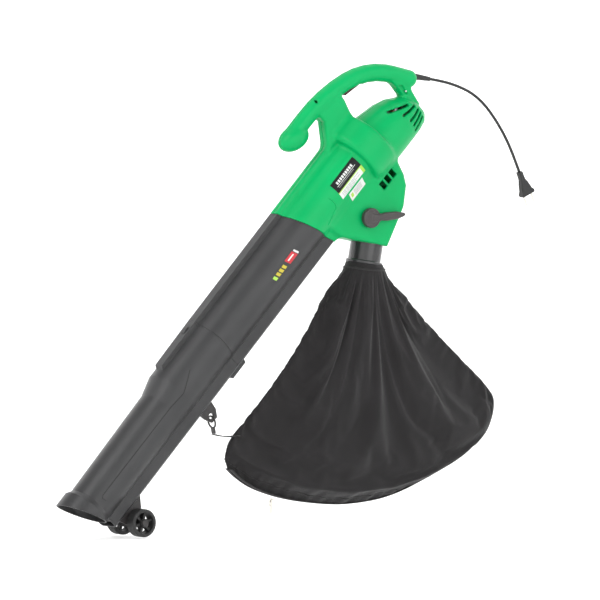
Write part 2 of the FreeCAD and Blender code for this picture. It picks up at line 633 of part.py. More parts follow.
def outlet_frame():
    """Placement whose Z axis runs down the outlet neck, starting where the neck leaves the box."""
    angle = math.radians(size("outlet_tilt_deg"))
    way = Vector(-math.cos(angle), 0, -math.sin(angle))
    return Placement(Vector(size("outlet_u"), 0, size("outlet_v")), Rotation(Vector(0, 0, 1), way))


def louvre_cutters():
    cutters = []
    for index in range(1, len(LOUVRES) + 1):
        front = Vector(size(f"louvre_front_u{index}"), 0, size(f"louvre_front_v{index}"))
        rear = Vector(size(f"louvre_rear_u{index}"), 0, size(f"louvre_rear_v{index}"))
        cutter = doc.addObject("Part::Box", f"louvre{index}")
        run = rear - front
        cutter.Length = run.Length
        bind(cutter, Height="vent_slot", Width="4 * box_half")
        tip = math.degrees(math.atan2(run.z, run.x))
        turn = Rotation(Vector(0, 1, 0), -tip)
        lift = turn.multVec(Vector(0, -2 * size("box_half"), -size("vent_slot") / 2))
        cutter.Placement = Placement(front + lift, turn)
        cutters.append(cutter)
    return cutters


def window_cutters():
    """Side windows under the fan case, one row on each side."""
    cutters = []
    for tag, low, high in (("near", "-box_half - 2", "-box_half + 5"),
                           ("far", "box_half - 5", "box_half + 2")):
        for index in range(int(size("windows"))):
            start = f"window_u + {index} * window_pitch"
            cutters.append(block(f"window_{tag}{index}", (start, low, "window_v"),
                                 (f"{start} + window_long", high, "window_v + window_high")))
    return cutters


def screw_cutters():
    cutters = []
    for index in range(1, len(SCREWS) + 1):
        place = {"u": f"screw_u{index}", "v": f"screw_v{index}"}
        cutters.append(rod(f"screw_hole{index}", "screw_shank + hug", "screw_head_y - screw_long - 1",
                           "screw_long + 2", "y", **place))
        cutters.append(rod(f"screw_recess{index}", "screw_head + screw_gap",
                           "screw_head_y - hug", "60", "y", **place))
    return cutters


def housing_cutter(end, way):
    """Everything the shells are hollowed by."""
    bore = rod("duct_bore", "bore_radius", "250", "fan_start_u + shell - 250")
    keel = block("keel_hollow", ("250", "-(channel_half - wall)", "keel_low + shell"),
                 ("keel_end_u + 12", "channel_half - wall", "channel_roof - 1"))
    fan = rod("fan_hollow", "fan_radius - shell", "fan_start_u + shell",
              "fan_end_u - fan_start_u - 2 * shell", v="fan_v")
    fan = rounded("fan_hollow_rounded", fan, "fan_round - shell", lambda edge: edge.BoundBox.XLength < 1e-6)
    cover = motor_loft("motor_hollow", "shell", 1)
    box = plate("box_hollow", outline("box_hollow"), "2 * box_inner_half")
    web = plate("web_hollow", outline("web_hollow"), "2 * (web_half - shell)")
    hollow = [bore, keel, fan, cover, box, web]
    hollow += arch_pieces("arch_hollow", "arch_bore", "arch_hollow_deg")[0]
    hollow.append(plate("trigger_opening", outline("trigger_slot"), "2 * trigger_slot_half"))
    relief = doc.addObject("Part::Cylinder", "relief_hole")
    bind(relief, Radius="relief_root + clamp_gap", Height="40")
    relief.Placement = Placement(end - way * 20, Rotation(Vector(0, 0, 1), way))
    hollow.append(relief)
    outlet = doc.addObject("Part::Cylinder", "outlet_hole")
    bind(outlet, Radius="outlet_radius + outlet_gap", Height="80")
    place = outlet_frame()
    outlet.Placement = Placement(place.Base - place.Rotation.multVec(Vector(0, 0, 12)), place.Rotation)
    hollow.append(outlet)
    hollow.append(rod("selector_hole", "select_radius + run_gap", "-box_half - 5", "10", "y",
                      u="select_u", v="select_v"))
    hollow.append(rod("eye_hole", "eye_radius", "-40", "80", "y", u="eye_u", v="eye_v"))
    hollow.append(slanted_front())
    return joined("housing_cutter", hollow + louvre_cutters() + window_cutters() + screw_cutters())


def slanted_front():
    """Removes the mouth of the socket in front of the slanted joint with the upper tube."""
    rise = math.tan(math.radians(size("cut_slope_deg")))
    top = size("cut_top_u") + (size("cut_top_v") - 150) * rise
    low = size("cut_top_u") + (size("cut_top_v") + 150) * rise
    return plate("socket_front", [("100", "-150"), (f"{low}", "-150"), (f"{top}", "150"), ("100", "150")],
                 "400")


def bosses():
    """Screw posts inside the selector box."""
    posts = []
    for index in (5, 6):
        posts.append(rod(f"post{index}", "boss_radius", "-box_inner_half", "2 * box_inner_half", "y",
                         u=f"screw_u{index}", v=f"screw_v{index}"))
    return posts


def screws():
    items = []
    for index in range(1, len(SCREWS) + 1):
        place = {"u": f"screw_u{index}", "v": f"screw_v{index}"}
        items.append(rod(f"screw_shank{index}", "screw_shank", "screw_head_y - screw_long", "screw_long",
                         "y", **place))
        head = rod(f"screw_head{index}", "screw_head", "screw_head_y", "screw_head_high", "y", **place)
        slot = block(f"screw_slot{index}", (f"screw_u{index} - 2.4", "screw_head_y + 1.2",
                                            f"screw_v{index} - 0.4"),
                     (f"screw_u{index} + 2.4", "screw_head_y + 4", f"screw_v{index} + 0.4"))
        items.append(less(f"screw_top{index}", head, slot))
    keep("housing_screws", joined("housing_screws", items))


def housing():
    outside, end, way = housing_outside()
    hollow = less("housing_hollow", outside, housing_cutter(end, way))
    posts = less("posts_drilled", joined("posts", bosses()), joined("post_drills", screw_cutters_again()))
    whole = joined("housing_whole", [hollow, posts])
    near = block("near_half", ("0", "-200", "-400"), ("900", "-split_gap / 2", "400"))
    far = block("far_half", ("0", "split_gap / 2", "-400"), ("900", "200", "400"))
    keep("housing_left", shared("housing_left", [whole, near]))
    keep("housing_right", shared("housing_right", [whole, far]))
    screws()
    return end, way


def screw_cutters_again():
    drills = []
    for index in (5, 6):
        place = {"u": f"screw_u{index}", "v": f"screw_v{index}"}
        drills.append(rod(f"post_hole{index}", "screw_shank + hug", "screw_head_y - screw_long - 1",
                          "screw_long + 2", "y", **place))
        drills.append(rod(f"post_recess{index}", "screw_head + screw_gap", "screw_head_y - hug", "60",
                          "y", **place))
    return drills


# ---------------------------------------------------------------- drive line


def turned(body, name, radius, start, length, v="shaft_v"):
    """Pads a disc or a shaft along the tube onto a body."""
    sketch = sketch_on(body, "YZ_Plane", name, start)
    add_circle(sketch, radius, "0", v)
    return pad(body, sketch, length)


def bored(body, name, radius, start, length, v="shaft_v"):
    """Cuts a round hole along the tube into a body."""
    sketch = sketch_on(body, "YZ_Plane", name, start)
    add_circle(sketch, radius, "0", v)
    return pocket(body, sketch, length, reverse=True)


def disc_part(label, radius, hole, start, length, v="shaft_v", hole_v="shaft_v"):
    """A ring or a drilled disc along the tube."""
    body = new_body(label)
    turned(body, label + "_disc", radius, start, length, v)
    bored(body, label + "_hole", hole, f"{start} - 1", f"{length} + 2", hole_v)
    keep(label, body)


def vaned_wheel(label, start, plate_thick, radius, hub, front_u, blade_low, blade_high, count):
    """A back plate with a hub and straight blades round the shaft."""
    body = new_body(label)
    place = Placement(Vector(0, 0, size("shaft_v")), Rotation())
    turned(body, label + "_plate", radius, start, plate_thick, "0")
    turned(body, label + "_hub", hub, front_u, f"{start} - {front_u} + 1", "0")
    sketch = sketch_on(body, "YZ_Plane", label + "_blade", front_u)
    add_polygon(sketch, rectangle("-blade_thick / 2", blade_low, "blade_thick / 2", blade_high))
    first = pad(body, sketch, f"{start} - {front_u} + 1")
    turn = body.newObject("PartDesign::PolarPattern", label + "_blades")
    turn.Originals = [first]
    turn.Axis = (origin_plane(body, "X_Axis"), [""])
    turn.Angle = 360
    turn.setExpression("Occurrences", linked(count))
    body.Tip = turn
    bored(body, label + "_bore", "shaft_radius + hug", f"{front_u} - 1", f"{start} - {front_u} + 10", "0")
    keep(label, body, local=place)


def cutter():
    body = new_body("mulching_blade")
    sketch = sketch_on(body, "YZ_Plane", "cutter_outline", "cutter_u")
    half = "cutter_long / 2"
    wide = "cutter_wide / 2"
    add_polygon(sketch, [(f"-{half}", f"shaft_v - {wide} + 4"), (f"-{half} + 14", f"shaft_v - {wide}"),
                         (half, f"shaft_v - {wide}"), (half, f"shaft_v + {wide} - 4"),
                         (f"{half} - 14", f"shaft_v + {wide}"), (f"-{half}", f"shaft_v + {wide}")])
    pad(body, sketch, "cutter_thick")
    bored(body, "cutter_hole", "shaft_radius + hug", "cutter_u - 1", "cutter_thick + 2")
    keep("mulching_blade", body)


def impeller_nut():
    body = new_body("impeller_nut")
    sketch = sketch_on(body, "YZ_Plane", "nut_outline", "nut_u")
    corners = []
    for index in range(6):
        turn = f"{60 * index} deg"
        reach = "nut_flat / 2 / cos(30 deg)"
        corners.append((f"{reach} * cos({turn})", f"shaft_v + {reach} * sin({turn})"))
    add_polygon(sketch, corners)
    pad(body, sketch, "nut_thick")
    bored(body, "nut_bore", "shaft_radius + hug", "nut_u - 1", "nut_thick + 2")
    keep("impeller_nut", body)


def brushes():
    """Carbon brushes above and below the commutator, each in its own holder."""
    middle = "commutator_u + commutator_long / 2"
    half = "brush_wide / 2"
    shell = f"{half} + holder_wall"
    carbons = []
    holders = []
    for tag, sign in (("top", "1"), ("low", "-1")):
        near = f"shaft_v + ({sign}) * brush_in"
        far = f"shaft_v + ({sign}) * (brush_in + brush_long)"
        inner = f"shaft_v + ({sign}) * holder_in"
        outer = f"shaft_v + ({sign}) * (brush_in + brush_long + 2)"
        low, high = (near, far) if sign == "1" else (far, near)
        shell_low, shell_high = (inner, outer) if sign == "1" else (outer, inner)
        carbons.append(block("carbon_" + tag, (f"{middle} - {half}", f"-{half}", low),
                             (f"{middle} + {half}", half, high)))
        case = block("holder_" + tag, (f"{middle} - {shell}", f"-({shell})", shell_low),
                     (f"{middle} + {shell}", shell, shell_high))
        core_low = f"{low} - 4" if sign == "1" else f"{low} - hug"
        core_high = f"{high} + hug" if sign == "1" else f"{high} + 4"
        core = block("holder_core_" + tag, (f"{middle} - {half} - hug", f"-({half} + hug)", core_low),
                     (f"{middle} + {half} + hug", f"{half} + hug", core_high))
        holders.append(less("holder_bored_" + tag, case, core))
    keep("carbon_brushes", joined("carbon_brushes", carbons))
    keep("brush_holders", joined("brush_holders", holders))


def rear_yoke():
    """Bar that carries the rear bearing."""
    body = new_body("bearing_yoke")
    sketch = sketch_on(body, "YZ_Plane", "yoke_outline", "yoke_u")
    add_polygon(sketch, rectangle("-yoke_half", "shaft_v - 22", "yoke_half", "shaft_v + yoke_high"))
    pad(body, sketch, "yoke_thick")
    keep("bearing_yoke", body)


def drive_line():
    shaft = new_body("motor_shaft")
    turned(shaft, "shaft_bar", "shaft_radius", "shaft_start_u", "shaft_end_u - shaft_start_u")
    keep("motor_shaft", shaft)
    cutter()
    impeller_nut()
    vaned_wheel("impeller", "impeller_back_u", "impeller_plate", "impeller_radius", "impeller_hub",
                "impeller_front_u", "8", "blade_out", "blades")
    disc_part("inlet_plate", "inlet_radius", "eye_inlet", "inlet_u", "inlet_thick", "fan_v", "eye_inlet_v")
    disc_part("bulkhead", "bulkhead_radius", "bulkhead_hole", "bulkhead_u", "bulkhead_thick", "fan_v")
    disc_part("front_bearing", "bearing_radius", "shaft_radius + run_gap", "bearing_one_u", "bearing_thick")
    vaned_wheel("cooling_fan", "cooler_u + cooler_blade", "cooler_thick", "cooler_radius", "9", "cooler_u",
                "7", "cooler_radius - 1", "cooler_blades")
    disc_part("stator", "stator_radius", "stator_bore", "stator_u", "stator_long")
    disc_part("armature", "armature_radius", "shaft_radius + hug", "stator_u", "stator_long")
    disc_part("commutator", "commutator_radius", "shaft_radius + hug", "commutator_u", "commutator_long")
    disc_part("rear_bearing", "bearing_two_radius", "shaft_radius + run_gap", "bearing_two_u",
              "bearing_thick")
    brushes()
    rear_yoke()


# ---------------------------------------------------------------- selector, trigger and wiring


def vane(body, name, length, angle):
    """One blade of the selector flap, from the shaft outwards."""
    x = f"{length} * cos({angle} * 1 deg)"
    z = f"{length} * sin({angle} * 1 deg)"
    side_x = f"vane_thick / 2 * sin({angle} * 1 deg)"
    side_z = f"vane_thick / 2 * cos({angle} * 1 deg)"
    sketch = sketch_on(body, "XZ_Plane", name)
    add_polygon(sketch, [(f"select_u + {side_x}", f"select_v - {side_z}"),
                         (f"select_u + {x} + {side_x}", f"select_v + {z} - {side_z}"),
                         (f"select_u + {x} - {side_x}", f"select_v + {z} + {side_z}"),
                         (f"select_u - {side_x}", f"select_v + {side_z}")])
    pad(body, sketch, "2 * vane_half", True)


def selector():
    flap = new_body("diverter_flap")
    hub = sketch_on(flap, "XZ_Plane", "vane_hub_section")
    add_circle(hub, "vane_hub", "select_u", "select_v")
    pad(flap, hub, "2 * vane_half", True)
    vane(flap, "vane_upper", "vane_up", "vane_up_deg")
    vane(flap, "vane_lower", "vane_down", "vane_down_deg")
    bore = sketch_on(flap, "XZ_Plane", "vane_bore")
    add_circle(bore, "select_radius + hug", "select_u", "select_v")
    pocket(flap, bore, "100", midplane=True)
    keep("diverter_flap", flap)
    shaft = new_body("selector_shaft")
    bar = sketch_on(shaft, "XZ_Plane", "selector_bar", "-select_in_y")
    add_circle(bar, "select_radius", "select_u", "select_v")
    pad(shaft, bar, "select_in_y - select_out_y")
    keep("selector_shaft", shaft)
    lever = new_body("selector_lever")
    knob = sketch_on(lever, "XZ_Plane", "knob_section", "-knob_near_y")
    add_circle(knob, "knob_radius", "select_u", "select_v")
    pad(lever, knob, "knob_thick")
    body_round(lever, "3", lambda edge: edge.BoundBox.YLength < 1e-6 and edge.BoundBox.YMin < -50)
    arm = sketch_on(lever, "XZ_Plane", "lever_section", "-lever_near_y")
    angle = "lever_deg * 1 deg"
    corners = []
    for along, side in (("0", "-lever_root"), ("lever_long - 6", "-lever_tip"), ("lever_long", "-2.5"),
                        ("lever_long", "2.5"), ("lever_long - 6", "lever_tip"), ("0", "lever_root")):
        corners.append((f"select_u + ({along}) * cos({angle}) - ({side}) * sin({angle})",
                        f"select_v + ({along}) * sin({angle}) + ({side}) * cos({angle})"))
    add_polygon(arm, corners)
    pad(lever, arm, "lever_thick")
    bore = sketch_on(lever, "XZ_Plane", "lever_bore", "-knob_near_y - 1")
    add_circle(bore, "select_radius + hug", "select_u", "select_v")
    pocket(lever, bore, "1 + knob_near_y - select_out_y + hug", reverse=True)
    keep("selector_lever", lever)


def spring_coil():
    """Compression spring between the trigger and the switch."""
    helix = doc.addObject("Part::Helix", "spring_path")
    bind(helix, Radius="spring_coil", Pitch="spring_pitch", Height="spring_long")
    wire = doc.addObject("Part::Circle", "spring_section")
    bind(wire, Radius="spring_wire")
    wire.Placement = Placement(Vector(size("spring_coil"), 0, 0), Rotation(Vector(1, 0, 0), 90))
    coil = doc.addObject("Part::Sweep", "trigger_spring")
    coil.Sections = [wire]
    coil.Spine = (helix, [])
    coil.Solid = True
    coil.Frenet = True
    keep("trigger_spring", coil, Placement(), Placement(Vector(size("spring_x"), 0, size("spring_z")),
                                                        Rotation()))


def trigger_group():
    body = plate("trigger", outline("trigger"), "2 * trigger_half")
    body_round(body, "1.2", lambda edge: is_rim(edge) and edge.BoundBox.XLength > 30
               and edge.BoundBox.ZMax < 104)
    hole = sketch_on(body, "XZ_Plane", "trigger_bore")
    add_circle(hole, "pin_radius + run_gap", "pin_u", "pin_v")
    pocket(body, hole, "60", midplane=True)
    keep("trigger", body)
    pin = new_body("trigger_pin")
    sketch = sketch_on(pin, "XZ_Plane", "trigger_pin_section")
    add_circle(sketch, "pin_radius", "pin_u", "pin_v")
    pad(pin, sketch, "2 * pin_half", True)
    keep("trigger_pin", pin)
    keep("switch_body", plate("switch_body", outline("switch"), "2 * switch_half"))


def wiring(end, way):
    """Clamp, capacitor and the loom that runs along the hollow grip."""
    clamp = new_body("cord_clamp")
    sketch = sketch_on(clamp, "XY_Plane", "clamp_outline")
    add_polygon(sketch, rectangle("-clamp_high / 2", "-clamp_wide / 2", "clamp_high / 2", "clamp_wide / 2"))
    pad(clamp, sketch, "clamp_long")
    hole = sketch_on(clamp, "XY_Plane", "clamp_hole", "-1")
    add_circle(hole, "cord_radius + clamp_gap")
    pocket(clamp, hole, "clamp_long + 2", reverse=True)
    turn = Rotation(Vector(0, 0, 1), way)
    keep("cord_clamp", clamp, local=Placement(end - way * (size("clamp_long") + 16), turn))
    can = new_body("capacitor")
    section = sketch_on(can, "XZ_Plane", "capacitor_section", "-capacitor_long / 2")
    add_circle(section, "capacitor_radius", "626", "91")
    pad(can, section, "capacitor_long")
    keep("capacitor", can)


def cord_gland(end, way):
    """Strain relief, turned about the cord and bent only by its place on the grip's end."""
    body = new_body("strain_relief")
    sketch = sketch_on(body, "XZ_Plane", "relief_profile")
    bore = "cord_radius + clamp_gap"
    add_polygon(sketch, [(bore, "-relief_in"), ("relief_flange", "-relief_in"),
                         ("relief_flange", "-relief_in + relief_flange_long"),
                         ("relief_root", "-relief_in + relief_flange_long"), ("relief_root", "4"),
                         ("relief_tip", "relief_long"), (bore, "relief_long")])
    turn = body.newObject("PartDesign::Revolution", "relief_turned")
    turn.Profile = sketch
    turn.ReferenceAxis = (sketch, ["V_Axis"])
    turn.Angle = 360
    keep("strain_relief", body, HANG, relief_place())


def relief_place():
    """Where the gland leaves the grip, level frame, with Z along the cord."""
    first = Vector(size("cord_x1"), 0, size("cord_z1"))
    second = Vector(size("cord_x2"), 0, size("cord_z2"))
    way = (second - first).normalize()
    return Placement(first - way * size("relief_long"), Rotation(Vector(0, 0, 1), way))


def rounded_route(points):
    """Straight runs joined by tangent arcs; returns the wire and prints the bend radii."""
    edges = []
    radii = []
    start = points[0]
    for before, corner, after in zip(points, points[1:], points[2:]):
        one = (before - corner).normalize()
        two = (after - corner).normalize()
        half_turn = (math.pi - one.getAngle(two)) / 2
        shorter = min((before - corner).Length, (after - corner).Length)
        radius = 0.45 * shorter / math.tan(half_turn)
        cut = radius * math.tan(half_turn)
        first = corner + one * cut
        last = corner + two * cut
        middle_way = (one + two).normalize()
        centre = corner + middle_way * (radius / math.cos(half_turn))
        middle = centre - middle_way * radius
        edges.append(Part.LineSegment(start, first).toShape())
        edges.append(Part.Arc(first, middle, last).toShape())
        radii.append(round(radius, 1))
        start = last
    edges.append(Part.LineSegment(start, points[-1]).toShape())
    print("cord bend radii, mm:", radii)
    return Part.Wire(edges)


def power_cord():
    """The cord hangs from the gland; its tube follows the route read from the sheet."""
    points = []
    for index in range(1, len(CORD_ROUTE) + 1):
        points.append(Vector(size(f"cord_x{index}"), 0, size(f"cord_z{index}")))
    route = rounded_route(points)
    way = (points[1] - points[0]).normalize()
    section = Part.Wire(Part.Circle(points[0], way, size("cord_radius")).toShape())
    pipe = route.makePipeShell([section], True, False)
    expected = route.Length * math.pi * size("cord_radius") ** 2
    print("cord length, mm:", round(route.Length, 1), "volume ratio:", round(pipe.Volume / expected, 4))
    cord = doc.addObject("Part::Feature", "power_cord")
    cord.Shape = pipe
    keep("power_cord", cord, HANG)
    return points


def plug(points):
    """Flat two-pin plug on the cord's end, drawn along Z and laid along the cord's last run."""
    way = (points[-1] - points[-2]).normalize()
    place = Placement(points[-1], Rotation(Vector(0, 1, 0), math.degrees(math.atan2(way.x, way.z))))
    body = new_body("plug_body")
    outline_half = [("plug_back", "0"), ("plug_back + 0.6", "16"), ("9", "26"),
                    ("plug_face_half - 3", "plug_long - 9"), ("plug_face_half", "plug_long - 5"),
                    ("plug_face_half - 1.5", "plug_long")]
    mirrored = [(f"-({x})", z) for x, z in reversed(outline_half)]
    sketch = sketch_on(body, "XZ_Plane", "plug_outline")
    add_polygon(sketch, outline_half + mirrored)
    pad(body, sketch, "2 * plug_face_thick", True)
    body_round(body, "2.2", lambda edge: is_rim(edge) and edge.BoundBox.ZLength > 8)
    keep("plug_body", body, HANG, place)
    pins = new_body("plug_pins")
    for side in ("1", "-1"):
        sketch = sketch_on(pins, "XY_Plane", "plug_pin" + side.replace("-", "m"), "plug_long")
        add_circle(sketch, "plug_pin_radius", f"{side} * plug_pin_apart / 2")
        pad(pins, sketch, "plug_pin_long")
    keep("plug_pins", pins, HANG, place)


# ---------------------------------------------------------------- outlet and dust bag


def outlet():
    """Neck and bead that carry the dust bag, drawn down their own axis."""
    neck = new_body("outlet_neck")
    wall = sketch_on(neck, "XY_Plane", "outlet_wall", "-outlet_in")
    add_circle(wall, "outlet_radius")
    pad(neck, wall, "outlet_in + outlet_out")
    bore = sketch_on(neck, "XY_Plane", "outlet_bore", "-outlet_in - 1")
    add_circle(bore, "outlet_radius - wall")
    pocket(neck, bore, "outlet_in + outlet_out + 2", reverse=True)
    keep("outlet_neck", neck, local=outlet_frame())
    bead = new_body("bag_collar")
    sketch = sketch_on(bead, "XZ_Plane", "bead_profile")
    inner = "outlet_radius + hug"
    outer = "outlet_radius + bead_radius * 1.6"
    add_polygon(sketch, [(inner, "bead_at - 7"), (f"{outer} - 2", "bead_at - 7"), (outer, "bead_at - 5"),
                         (outer, "bead_at - 1"), (f"{outer} - 2", "bead_at + 1"), (inner, "bead_at + 1")])
    turn = bead.newObject("PartDesign::Revolution", "bead_turned")
    turn.Profile = sketch
    turn.ReferenceAxis = (sketch, ["V_Axis"])
    turn.Angle = 360
    keep("bag_collar", bead, local=outlet_frame())


def bag_loft(name, inset):
    """A pouch lofted across the tool through layers that shrink away from its seam; inset thins it."""
    whole = new_body(name)
    layers = []
    for tag, side in (("near", "-1"), ("far", "1")):
        for index in range(1, 4):
            layers.append((f"{name}_{tag}{index}", f"{side} * (bag_layer{index} - {inset} * bag_cloth)",
                           f"(bag_shrink{index} - {inset} * bag_inset)"))
    layers = layers[2::-1] + [(name + "_middle", "0", f"(1 - {inset} * bag_inset)")] + layers[3:]
    sketches = []
    for name, offset, scale in layers:
        sketch = sketch_on(whole, "XZ_Plane", name, offset)
        add_polygon(sketch, [(f"bag_mid_x + {scale} * ({x} - bag_mid_x)",
                              f"bag_mid_z + {scale} * ({z} - bag_mid_z)") for x, z in outline("bag_side")])
        sketch.Visibility = False
        sketches.append(sketch)
    loft = whole.newObject("PartDesign::AdditiveLoft", name + "_skin")
    loft.Profile = sketches[0]
    loft.Sections = sketches[1:]
    loft.Ruled = True
    return whole


def bag():
    """Hollow cloth bag, open where the outlet neck enters it."""
    whole = less("bag_skin", bag_loft("bag_outside", "0"), bag_loft("bag_inside", "1"))
    clear = doc.addObject("Part::Cylinder", "bag_neck_clear")
    bind(clear, Radius="outlet_radius + bead_radius * 1.6 + bag_gap", Height="outlet_out + bag_gap")
    clear.Placement = HANG.inverse().multiply(TOOL).multiply(outlet_frame())
    keep("dust_bag", less("dust_bag", whole, clear), HANG)


def on_bag_edge(angle_deg, radius):
    """A level-frame place on the bag's lower edge, X pointing outwards from its centre."""
    angle = math.radians(angle_deg)
    centre = Vector(size("bag_centre_x"), 0, size("bag_centre_z"))
    point = centre + Vector(math.cos(angle), 0, math.sin(angle)) * radius
    return Placement(point, Rotation(Vector(0, 1, 0), -angle_deg))


def bag_trim():
    """Zip tape along the lower edge, its slider and the hanging pull."""
    inner = size("bag_radius") + size("tape_gap")
    outer = inner + size("tape_thick")
    body = new_body("zipper_tape")
    sketch = sketch_on(body, "XY_Plane", "tape_profile")
    low = "bag_radius + tape_gap"
    add_polygon(sketch, rectangle(low, "-tape_half", f"{low} + tape_thick", "tape_half"))
    turn = body.newObject("PartDesign::Revolution", "tape_turned")
    turn.Profile = sketch
    turn.ReferenceAxis = (origin_plane(body, "Y_Axis"), [""])
    turn.setExpression("Angle", linked("tape_to_deg - tape_from_deg"))
    place = Placement(Vector(size("bag_centre_x"), 0, size("bag_centre_z")),
                      Rotation(Vector(0, 1, 0), -size("tape_to_deg")))
    keep("zipper_tape", body, HANG, place)
    seat = on_bag_edge(size("slider_deg"), outer + 0.3)
    slider = new_body("zipper_slider")
    base = sketch_on(slider, "XZ_Plane", "slider_plate")
    add_polygon(base, rectangle("0", "-slider_long / 2", "slider_thick", "slider_long / 2"))
    pad(slider, base, "slider_wide", True)
    lug = sketch_on(slider, "XZ_Plane", "slider_lug")
    add_polygon(lug, rectangle("slider_thick - 1", "-3.5", "slider_thick + 5.5", "3.5"))
    pad(slider, lug, "2.4", True)
    hole = sketch_on(slider, "XZ_Plane", "slider_hole")
    add_circle(hole, "pull_hole", "slider_thick + 2.6")
    pocket(slider, hole, "20", midplane=True)
    keep("zipper_slider", slider, HANG, seat)
    pivot = seat.multVec(Vector(size("slider_thick") + 2.6, 0, 0))
    pull = new_body("zipper_pull")
    for tag, low, high in (("near", "-4.2", "-2.2"), ("far", "2.2", "4.2")):
        cheek = sketch_on(pull, "YZ_Plane", "pull_cheek_" + tag, "-pull_pin")
        add_polygon(cheek, rectangle(low, "-11", high, "pull_pin"))
        pad(pull, cheek, "2 * pull_pin")
    pin = sketch_on(pull, "XZ_Plane", "pull_pin_section")
    add_circle(pin, "pull_pin")
    pad(pull, pin, "6", True)
    tag = sketch_on(pull, "YZ_Plane", "pull_tag", "-pull_thick / 2")
    half = "pull_wide / 2"
    add_polygon(tag, [(f"-{half} - 0.8", "-9"), (f"{half} + 0.8", "-9"), (half, "-pull_long + 3"),
                      (f"{half} - 2", "-pull_long"), (f"-{half} + 2", "-pull_long"),
                      (f"-{half}", "-pull_long + 3")])
    pad(pull, tag, "pull_thick")
    keep("zipper_pull", pull, HANG, Placement(pivot, Rotation()))
    return pivot


# ---------------------------------------------------------------- bag strap and snap hook


def hook_frame():
    """Tool-frame place at the hook's ring centre; Z runs up to the lug's hole, X across the tool."""
    lug = Vector(size("lug_u"), 0, size("lug_v"))
    level_down = TOOL.inverse().multiply(HANG).Rotation.multVec(Vector(0.22, 0, -0.975))
    centre = lug + level_down * size("hook_radius")
    return Placement(centre, Rotation(Vector(0, 1, 0), level_down.negative().cross(Vector(0, 1, 0)),
                                      level_down.negative(), "ZXY"))


def ring_arc(name, start, end):
    """Part of the hook's wire ring, in a frame whose ring lies in XZ."""
    arc = doc.addObject("Part::Torus", name)
    bind(arc, Radius1="hook_radius", Radius2="hook_wire", Angle3=f"({end}) - ({start})")
    turn = Rotation(Vector(1, 0, 0), 90).multiply(Rotation(Vector(0, 0, 1), evaluate(start)))
    arc.Placement = Placement(Vector(), turn)
    return arc


def snap_hook():
    bracket = plate("strap_lug", outline("lug_plate"), "2 * lug_half")
    base = sketch_on(bracket, "XY_Plane", "lug_base", "channel_low - fit_gap - 4")
    add_polygon(base, rectangle("-138", "-lug_base_half", "-94", "lug_base_half"))
    pad(bracket, base, "4")
    hole = sketch_on(bracket, "XZ_Plane", "lug_hole_section")
    add_circle(hole, "lug_hole", "lug_u", "lug_v")
    pocket(bracket, hole, "60", midplane=True)
    keep("strap_lug", bracket)
    place = hook_frame()
    ring = ring_arc("hook_ring", "hook_gate_to + hook_slit_deg - 360", "hook_gate_from - hook_slit_deg")
    shank = block("hook_shank", ("-5", "-hook_wire", "-hook_radius - hook_shank"),
                  ("5", "hook_wire", "-hook_radius + 1"))
    keep("snap_hook", joined("snap_hook", [ring, shank]), local=place)
    groove = block("gate_groove", ("-9.6", "hook_wire - 0.6", "-40"), ("-8.4", "hook_wire + 1", "0"))
    arc = ring_arc("gate_arc", "hook_gate_from", "hook_gate_to")
    keep("hook_gate", less("hook_gate", arc, groove), local=place)
    top = place.multVec(Vector(0, 0, -size("hook_radius") - size("hook_shank") - size("strap_gap")))
    return TOOL.multVec(top)


def strap(top):
    """Webbing from the hook down to the bag's corner."""
    low = HANG.multVec(Vector(size("strap_low_x"), 0, size("strap_low_z")))
    run = low - top
    body = new_body("bag_strap")
    sketch = sketch_on(body, "XY_Plane", "strap_section")
    half = "strap_wide / 2"
    add_polygon(sketch, rectangle("-strap_thick / 2", f"-{half}", "strap_thick / 2", half))
    web = body.newObject("PartDesign::Pad", "strap_pad")
    web.Profile = sketch
    web.Length = run.Length
    place = Placement(top, Rotation(Vector(0, 1, 0), math.degrees(math.atan2(run.x, run.z))))
    keep("bag_strap", body, Placement(), place)


# ---------------------------------------------------------------- labels


def label(name, radius, start, length, low_deg, sweep_deg):
    """A thin curved label on the near side of a round wall; angles run down from level."""
    shells = []
    for tag, reach in (("outside", f"{radius} + label_gap + label_thick"), ("inside", f"{radius} + label_gap")):
        piece = doc.addObject("Part::Cylinder", f"{name}_{tag}")
        bind(piece, Radius=reach, Height=length, Angle=sweep_deg)
        turn = Rotation(Vector(0, 1, 0), 90).multiply(Rotation(Vector(0, 0, 1), low_deg))
        piece.Placement = Placement(Vector(evaluate(start), 0, 0), turn)
        shells.append(piece)
    keep(name, less(name, *shells))


def labels():
    label("rating_label", "barrel_radius", "386", "78", -118.5, "43.5")
    label("notice_label", "barrel_radius", "403", "46", -69.6, "22")
    label("tube_decal", "duct_radius", "152", "92", -104, "30")


# ---------------------------------------------------------------- build and write


def build_all():
    upper_tube()
    lower_tube()
    tube_latch()
    running_gear()
    end, way = housing()
    drive_line()
    selector()
    trigger_group()
    spring_coil()
    wiring(end, way)
    cord_gland(end, way)
    plug(power_cord())
    outlet()
    bag()
    bag_trim()
    strap(snap_hook())
    labels()


def check_objects():
    """Stops the build if any feature failed or any sub-part is empty or not valid."""
    doc.recompute()
    for item in doc.Objects:
        for word in ("Invalid", "Error"):
            if word in item.State:
                raise RuntimeError(f"{item.Name} is {item.State}")
    for item in PARTS:
        if item.Shape.isNull() or not item.Shape.isValid():
            raise RuntimeError(f"{item.Label} has no valid shape")


def write_parts():
    os.makedirs("parts", exist_ok=True)
    for item in PARTS:
        item.Shape.exportStep(f"parts/{item.Label}.step")


build_all()
check_objects()
write_parts()
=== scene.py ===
"""Looks of the leaf blower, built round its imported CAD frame. Metres, +Z up."""
import json
import math

import bpy
import numpy as np
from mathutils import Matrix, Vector
from mathutils.bvhtree import BVHTree


